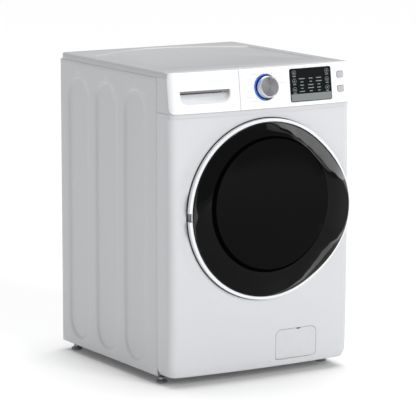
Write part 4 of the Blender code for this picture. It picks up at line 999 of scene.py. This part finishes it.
def make_knob():
    """A turned steel dial in a light ring whose left half glows blue."""
    lean = Matrix.Rotation(-math.atan(FASCIA_LEAN), 4, "X")
    knob_frame = Matrix.Translation((KNOB_X, fascia_y(KNOB_X, KNOB_Z), KNOB_Z)) @ lean
    glow_r = 0.0394
    ring = turned("knob_light_ring_looks",
                  [(0.0052, 0.004), (0.0052, 0.0025), (0.0366, 0.0025), (0.0366, -0.0008), (0.0372, -0.0016),
                   (glow_r, -0.0016), (0.0408, -0.0016), (0.0417, -0.0008), (0.0417, 0.004)], 96, RING_BLACK)
    ring.data.materials.append(BLUE_GLOW)
    for face in ring.data.polygons:
        x, _, z = face.center
        if math.hypot(x, z) > glow_r and 88 < math.degrees(math.atan2(z, x)) % 360 < 268:
            face.material_index = 1
    ring.data.transform(knob_frame)
    add(ring, "cabinet", "light_ring", "knob_light_ring")

    profile = [(0, -0.0262), (0.0295, -0.0262), (0.0302, -0.027), (0.0324, -0.027), (0.0336, -0.0264),
               (0.034, -0.0254), (0.034, -0.015), (0.0347, -0.0138), (0.0356, -0.013), (0.0358, -0.012),
               (0.0358, -0.0036), (0.0352, -0.003), (0.0045, -0.003), (0.0045, 0.029), (0, 0.029)]
    knob = turned("program_knob_looks", profile, 128, KNOB_SIDE)
    knob.data.materials.append(KNOB_STEEL)
    for face in knob.data.polygons:
        if face.center.y < -0.0258 and math.hypot(face.center.x, face.center.z) < 0.03:
            face.material_index = 1
    knob.matrix_world = knob_frame
    add(knob, "knob", "knob_steel", "program_knob")
    notch = block("knob_pointer_looks", (-0.0011, -0.0266, 0.0215), (0.0011, -0.0258, 0.0285), RING_BLACK,
                  0.0003)
    notch.data.transform(knob_frame)
    add(notch, "knob", "knob_steel")


# ---------------------------------------------------------------- door
def swell(angle, bump):
    """How far the handle stands out at an angle from +X; it points a little below the level."""
    off = abs((angle + BUMP_DROP + math.pi) % (2 * math.pi) - math.pi)
    return bump * (0.5 + 0.5 * math.cos(math.pi * off / BUMP_ANGLE)) ** 1.2 if off < BUMP_ANGLE else 0.0


def door_loop(radius, y):
    """A ring round the door's axis; radius and y may depend on the angle."""
    loop = []
    for k in range(DOOR_STEPS):
        angle = 2 * math.pi * k / DOOR_STEPS
        r = radius(angle) if callable(radius) else radius
        depth = y(angle) if callable(y) else y
        loop.append((DOOR_X + r * math.cos(angle), depth, DOOR_Z + r * math.sin(angle)))
    return loop


def rim_radius(angle):
    return COVER_R + swell(angle, BUMP)


# Degrees from +X, and the width of the slope there between the cover's rim and its flat front.
FLANK = ((-180, 0.0125), (-172, 0.0045), (-162, 0.0016), (-95, 0.0016), (-80, 0.008), (-66, 0.0226),
         (-56, 0.0341), (-47, 0.0425), (-38, 0.048), (-30, 0.043), (-23, 0.026), (-16, 0.009),
         (-8, 0.005), (4, 0.005), (12, 0.0137), (21, 0.0336), (30, 0.048), (41, 0.049), (53, 0.045),
         (66, 0.037), (79, 0.02), (92, 0.0016), (158, 0.0016), (168, 0.0055), (180, 0.0125))


def flank_width(angle):
    degrees = (math.degrees(angle) + 180) % 360 - 180
    for (a, w), (b, v) in zip(FLANK, FLANK[1:]):
        if degrees <= b:
            return w + (v - w) * smooth((degrees - a) / (b - a))


def edge_y(angle):
    """The flat front's edge stands further forward where the slope is wide."""
    return COVER_Y - 0.001 - 0.0185 * smooth(flank_width(angle) / 0.03)


def rim_loop(inset, share, y):
    """A ring inside the cover's rim by an inset and a share of the slope's width."""
    return door_loop(lambda a: rim_radius(a) - inset - flank_width(a) * share, y)


def disc(radius, y, slip=0.0):
    """A ring round the window's middle."""
    middle = (DOOR_X + WINDOW_SHIFT[0] + slip, DOOR_Z + WINDOW_SHIFT[1])
    return [(x, y, z) for x, z in circle(*middle, radius, DOOR_STEPS)]


def cover_rings():
    """Front and back loops of the cover, from the rim to the window and back again."""
    front = [rim_loop(0.0, 0, -0.3645), rim_loop(0.0, 0, -0.3662), rim_loop(0.0004, 0, COVER_Y + 0.0004)]
    for t in (0.1, 0.22, 0.36, 0.5, 0.62, 0.74, 0.87):
        front.append(rim_loop(0.0006 * (1 - t), t, lambda a, t=t: COVER_Y + (edge_y(a) - COVER_Y) * t
                              - 0.0003 * math.sin(math.pi * t)))
    front.append(rim_loop(0.0, 1, edge_y))
    rim = rim_loop(0.003, 1, lambda a: edge_y(a) - 0.0009)
    front.append(rim)
    edge = disc(WINDOW_R, -0.3948)
    for share, rise in ((0.3, 0.45), (0.6, 0.76), (0.85, 0.93)):
        front.append([(x + (u - x) * share, y + (v - y) * rise, z + (w - z) * share)
                      for (x, y, z), (u, v, w) in zip(rim, edge)])
    front.append(edge)
    front += [disc(*row) for row in (
        (WINDOW_R - 0.0012, -0.3952), (WINDOW_R - 0.009, -0.3956, 0.0078), (0.185, -0.3974, 0.006),
        (0.15, -0.3988, 0.004), (0.11, -0.3999, 0.003), (0.07, -0.4006, 0.002), (0.035, -0.4009))]
    back = [disc(*row) for row in (
        (0.035, -0.3979), (0.08, -0.3974), (0.16, -0.3955), (0.205, -0.3925))]
    back += [rim_loop(0.006, 1, lambda a: edge_y(a) + 0.0034),
             rim_loop(0.0035, 0.5, lambda a: (edge_y(a) + COVER_Y) / 2 + 0.0034),
             rim_loop(0.0035, 0, -0.3652), rim_loop(0.0035, 0, -0.3645)]
    return front, back


def make_cover():
    """The domed cover, with its own looks for the slope, the band round the window and the window."""
    front, back = cover_rings()
    rings = front + back
    n, last = DOOR_STEPS, len(front) - 1
    verts = [p for loop in rings for p in loop]
    tips = (len(verts), len(verts) + 1)
    verts += [(DOOR_X + WINDOW_SHIFT[0], y, DOOR_Z + WINDOW_SHIFT[1]) for y in (-0.401, -0.398)]
    rim, band, window, slope = range(4)

    def look(ring, degrees):
        if 3 <= ring < 10:
            return rim if ring < 6 and -80 < degrees < -14 else slope
        if ring in (15, 16):
            return band
        return window if 17 <= ring <= last else rim
    faces, looks = [], []
    for a in range(len(rings)):
        b = (a + 1) % len(rings)
        for i in range(n):
            j = (i + 1) % n
            if a == last:
                faces += [(a * n + i, a * n + j, tips[0]), (b * n + i, b * n + j, tips[1])]
                looks += [window, window]
            else:
                faces.append((a * n + i, a * n + j, b * n + j, b * n + i))
                looks.append(look(a, (360.0 * (i + 0.5) / n + 180) % 360 - 180))
    cover = mesh_object("door_cover_looks", verts, faces, COVER_BLACK, 28.0)
    for extra in (COVER_BAND, COVER_WINDOW, COVER_SLOPE):
        cover.data.materials.append(extra)
    for face, index in zip(cover.data.polygons, looks):
        face.material_index = index
    add(cover, "door", "door_black", "door_cover")


def make_door_ring():
    """The white ring: round at its back, and swelling with the handle towards its front."""
    bore = RING_R - 0.002
    levels = [(-0.3515, RING_R, 0.0), (-0.3585, RING_R, 0.0), (-0.3605, RING_R, 0.55),
              (-0.3622, RING_R, 0.75), (-0.3634, RING_R - 0.0006, 0.84), (-0.3642, RING_R - 0.0022, 0.9),
              (-0.3648, RING_R - 0.005, 0.96), (-0.365, COVER_R + 0.0012, 1.0),
              (-0.3632, COVER_R + 0.001, 1.0), (-0.3602, bore, 0.7), (-0.358, bore, 0.0),
              (-0.3515, bore, 0.0)]
    rings = [door_loop(lambda a, r=r, share=share: r + swell(a, BUMP * share), y) for y, r, share in levels]
    ring = loft("door_ring_looks", rings, RING_WHITE, 40.0, closed=True)
    notch = ((-0.32, -0.38, AXIS_Z - 0.0138), (-0.2735, -0.34, AXIS_Z + 0.0138))
    carve(ring, block("cutter", *notch, RING_WHITE, 0.001))
    add(ring, "door", "front_paint", "door_ring")


def make_door_bowl():
    bowl = soft_corners([(0.2, -0.3595), (0.2, -0.364), (0.182, -0.364), (0.174, -0.33),
                         (0.16, -0.215), (0.14, -0.209), (0.0, -0.206)], 0.006, 4, closed=False)
    bowl += soft_corners([(0.0, -0.202), (0.143, -0.205), (0.165, -0.211), (0.179, -0.33),
                          (0.186, -0.3595)], 0.006, 4, closed=False)
    add(turned("door_bowl_looks", bowl, 128, GLASS, (DOOR_X, 0, DOOR_Z)), "door", "bowl_glass", "door_bowl")


def make_inner_frame():
    """The grey frame round the bowl, with a groove, a gap for the hook and ten screws."""
    seat_y, groove_y, back_y = -0.3525, -0.3537, -0.359
    profile = soft_corners([(0.272, seat_y), (0.272, back_y), (0.1875, back_y), (0.1875, -0.3545),
                            (0.192, seat_y), (0.208, seat_y), (0.211, groove_y), (0.25, groove_y),
                            (0.253, seat_y)], 0.0012, 3)
    frame_ring = turned("frame_ring", profile, 128, FRAME_GREY, (DOOR_X, 0, DOOR_Z))
    hook_cut = ((0.25, -0.37, AXIS_Z - 0.0135), (0.2735, -0.34, AXIS_Z + 0.0135))
    carve(frame_ring, block("cutter", *hook_cut, FRAME_GREY))
    screws = [screw((x, groove_y, z), 0.0042, HINGE_STEEL, 0.0011)
              for x, z in arc(DOOR_X, DOOR_Z, 0.2305, 18, 342, 9)]
    add(merged("door_inner_frame_looks", [frame_ring, *screws]), "door", "frame_grey", "door_inner_frame")


def make_flap():
    """The filter flap, with a finger notch in its upper edge."""
    low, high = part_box("filter_flap")
    x0, x1, z0, z1 = low.x, high.x, low.z, high.z
    notch_x = x0 + 0.089
    dip = [(notch_x + 0.009, z1), (notch_x + 0.0065, z1 - 0.0022), (notch_x, z1 - 0.0034),
           (notch_x - 0.0065, z1 - 0.0022), (notch_x - 0.009, z1)]
    foot_r, head_r = 0.012, 0.02
    outline = (arc(x0 + foot_r, z0 + foot_r, foot_r, 180, 270, 6)
               + arc(x1 - foot_r, z0 + foot_r, foot_r, 270, 360, 6)
               + arc(x1 - head_r, z1 - head_r, head_r, 0, 90, 8) + dip
               + arc(x0 + head_r, z1 - head_r, head_r, 90, 180, 8))
    flap = plate("filter_flap_looks", outline, on_surface(bowed), 0.0024, FLAP_WHITE, spacing=(0.008, 0.008),
                 rounding=0.001)
    add(flap, "flap", "front_paint", "filter_flap")


# ---------------------------------------------------------------- inside
def make_seal():
    """The grey rubber bellows between the panel's port and the tub."""
    path = [(0.23, -0.2235), (0.23, -0.242), (0.216, -0.252), (0.216, -0.285), (0.236, -0.294),
            (0.236, -0.306), (0.208, -0.312), (0.202, -0.319), (0.214, -0.33), (0.2355, -0.3345)]
    line = [Vector(p) for p in soft_corners(path, 0.0055, 5, closed=False)]
    outer, inner = [], []
    for i, p in enumerate(line):
        ahead = (line[min(i + 1, len(line) - 1)] - line[max(i - 1, 0)]).normalized()
        across = Vector((-ahead.y, ahead.x)) * 0.0014
        outer.append(tuple(p + across))
        inner.append(tuple(p - across))
    return turned("door_seal_looks", outer + inner[::-1], 112, SEAL, (AXIS_X, 0, AXIS_Z), crease=40.0)


def make_drum():
    """The stainless basket; its holes are small dark discs in the wall, painted shade in place of openings,
    with none behind the lifters.
    """
    mouth = 0.205
    profile = [(mouth, -0.178), (mouth + 0.003, -0.1805), (mouth + 0.01, -0.1775), (0.27, -0.17),
               (0.282, -0.164), (DRUM_R, -0.154), (DRUM_R, 0.284), (0.28, 0.289), (0.018, 0.289),
               (0.018, 0.2875), (0.279, 0.2875), (0.2833, 0.2835), (0.2833, -0.1535), (0.2808, -0.1625),
               (0.269, -0.1684), (mouth + 0.01, -0.1758)]
    shell = turned("drum_shell_looks", profile, 144, DRUM_STEEL, (AXIS_X, 0, AXIS_Z), crease=35.0)
    add(shell, "drum", "drum_steel", "drum_shell")
    sides = 8
    verts, faces = [], []
    for row in range(16):
        for k in range(48):
            angle = 2 * math.pi * (k + 0.5 * (row % 2)) / 48
            if min(abs((math.degrees(angle) - 90 + 180 + t) % 360 - 180) for t in (0, 120, 240)) <= 8:
                continue
            out = Vector((math.cos(angle), 0, math.sin(angle)))
            up = Vector((-math.sin(angle), 0, math.cos(angle)))
            centre = Vector((AXIS_X, -0.135 + row * 0.0262, AXIS_Z)) + out * 0.2831
            start = len(verts)
            for lift in (0.0, 0.0012):
                for x, y in circle(0.0, 0.0, 0.0024, sides):
                    verts.append(centre + Vector((0, x, 0)) + up * y + out * lift)
            faces += [tuple(start + j for j in range(sides)), tuple(start + sides + j for j in range(sides))]
            faces += [(start + j, start + (j + 1) % sides, start + sides + (j + 1) % sides, start + sides + j)
                      for j in range(sides)]
    add(mesh_object("drum_holes_looks", verts, faces, HOLE_SHADE), "drum", "drum_steel")


def flexible(piece, node_name, start, end):
    """A soft piece: hides its CAD node and bakes its placement into its mesh."""
    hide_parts(node_name)
    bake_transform(piece)
    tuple(start)
    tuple(end)


def make_hanging(name, mat, cabinet_on_top=True):
    """A visible copy of an upright CAD spring or hose, standing in for it."""
    source = bpy.data.objects[name]
    mesh = source.data.copy()
    mesh.transform(source.matrix_world)
    mesh.materials.clear()
    mesh.materials.append(mat)
    shaded(mesh)
    low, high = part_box(name)
    held = 0.004
    ends = [(0, 0, high.z - held), (0, 0, low.z + held)]
    start, end = ends if cabinet_on_top else ends[::-1]
    flexible(linked(name + "_looks", mesh), name, start, end)


def dress(mat, slot, *names):
    """Carried-over CAD nodes get their finished material."""
    for name in names:
        obj = CAD[name]
        obj.data.materials.clear()
        obj.data.materials.append(mat)


def make_inside():
    flexible(make_seal(), "door_seal", (0, -0.326, AXIS_Z), (0, -0.246, AXIS_Z))
    make_hanging("left_spring", SPRING_STEEL)
    make_hanging("right_spring", SPRING_STEEL)
    make_hanging("fill_hose", HOSE)
    make_hanging("sump_hose", HOSE, cabinet_on_top=False)
    make_drum()
    dress(LIFTER, "lifter_plastic", "lifter_top", "lifter_left", "lifter_right")
    dress(ALLOY, "alloy", "spider_shaft", "drum_pulley")
    dress(TUB, "tub_plastic", "tub_front", "tub_rear")
    dress(IRON, "weight_iron", "front_counterweight", "top_counterweight")
    dress(BEARING, "bearing_steel", "drum_bearing")
    dress(MOTOR_BLACK, "motor_black", "motor")
    dress(BEARING, "steel_grey", "motor_pulley")
    dress(BELT, "belt_rubber", "drive_belt")
    dress(SPRING_STEEL, "steel_grey", "left_damper_rod", "right_damper_rod")
    dress(DAMPER, "damper_plastic", "left_damper_tube", "right_damper_tube")
    dress(HOUSING, "housing_plastic", "dispenser_housing")
    dress(NYLON, "valve_nylon", "inlet_valve", "drain_outlet", "pump_impeller")
    dress(GLAND, "foot_rubber", "cord_gland")
    dress(BOARD, "board_green", "control_board")
    dress(LOCK, "lock_black", "door_lock")
    dress(PUMP_GREY, "pump_grey", "drain_pump", "filter_cap")
    dress(BASE_STEEL, "steel_grey", "base_frame", "top_brace")
    dress(HINGE_STEEL, "hinge_steel", "hinge_bracket", "hinge_arm", "door_hook")


# ---------------------------------------------------------------- stage
def area_light(name, at, aim, size, power):
    lamp = bpy.data.lights.new(name, "AREA")
    lamp.shape = "RECTANGLE"
    lamp.size, lamp.size_y = size
    lamp.energy = power
    made = linked(name, lamp)
    made.location = at
    made.rotation_euler = (Vector(aim) - Vector(at)).to_track_quat("-Z", "Y").to_euler()
    return made


def make_stage():
    """A white floor and world, a wide soft sun, and two cards: one without glints, one with nothing else."""
    floor_mat = principled("studio_floor", (0.90, 0.90, 0.90), 0.9, Emission_Color=(1, 1, 1, 1),
                           Emission_Strength=FLOOR_GLOW, Specular_IOR_Level=0.0)
    half = 60.0
    corners = [(-half, -half, 0), (half, -half, 0), (half, half, 0), (-half, half, 0)]
    mesh_object("studio_floor", corners, [(0, 1, 2, 3)], floor_mat)
    world = bpy.data.worlds.new("studio")
    world.use_nodes = True
    background = world.node_tree.nodes["Background"].inputs
    background["Color"].default_value = (1, 1, 1, 1)
    background["Strength"].default_value = WORLD_LEVEL
    bpy.context.scene.world = world
    sun = bpy.data.lights.new("overhead", "SUN")
    sun.energy = SUN_STRENGTH
    sun.angle = math.radians(50)
    linked("overhead", sun).rotation_euler = (math.radians(-12), math.radians(8), 0)
    front = area_light("front", (1.2, -7.5, 3.6), (0, 0, 0.5), (3.0, 3.0), FRONT_POWER)
    front.visible_glossy = False
    card = area_light("right_card", (4.2, -0.3, 3.1), (0.2, -0.4, 0.7), (5.0, 5.6), CARD_POWER)
    card.visible_diffuse = False


def make_camera():
    camera = bpy.data.cameras.new("camera")
    camera.sensor_width = 36.0
    camera.lens = LENS
    camera.clip_end = 200.0
    made = linked("camera", camera)
    made.location = CAMERA_AT
    made.rotation_euler = (CAMERA_AIM - made.location).to_track_quat("-Z", "Y").to_euler()
    bpy.context.scene.camera = made


make_front_panel()
make_door_gap_shadow()
make_side("left_side_panel", -1)
make_side("right_side_panel", 1)
make_top()
make_rear()
for foot in ("front_left_foot", "front_right_foot", "rear_left_foot", "rear_right_foot"):
    make_foot(foot)
make_drawer_front()
make_drawer_handle()
make_drawer_tray()
make_control_fascia()
make_display()
make_console_marks()
make_keys()
make_knob()
make_door_ring()
make_cover()
make_door_bowl()
make_inner_frame()
make_flap()
make_inside()
make_stage()
make_camera()
bpy.context.scene.view_settings.view_transform = "Standard"
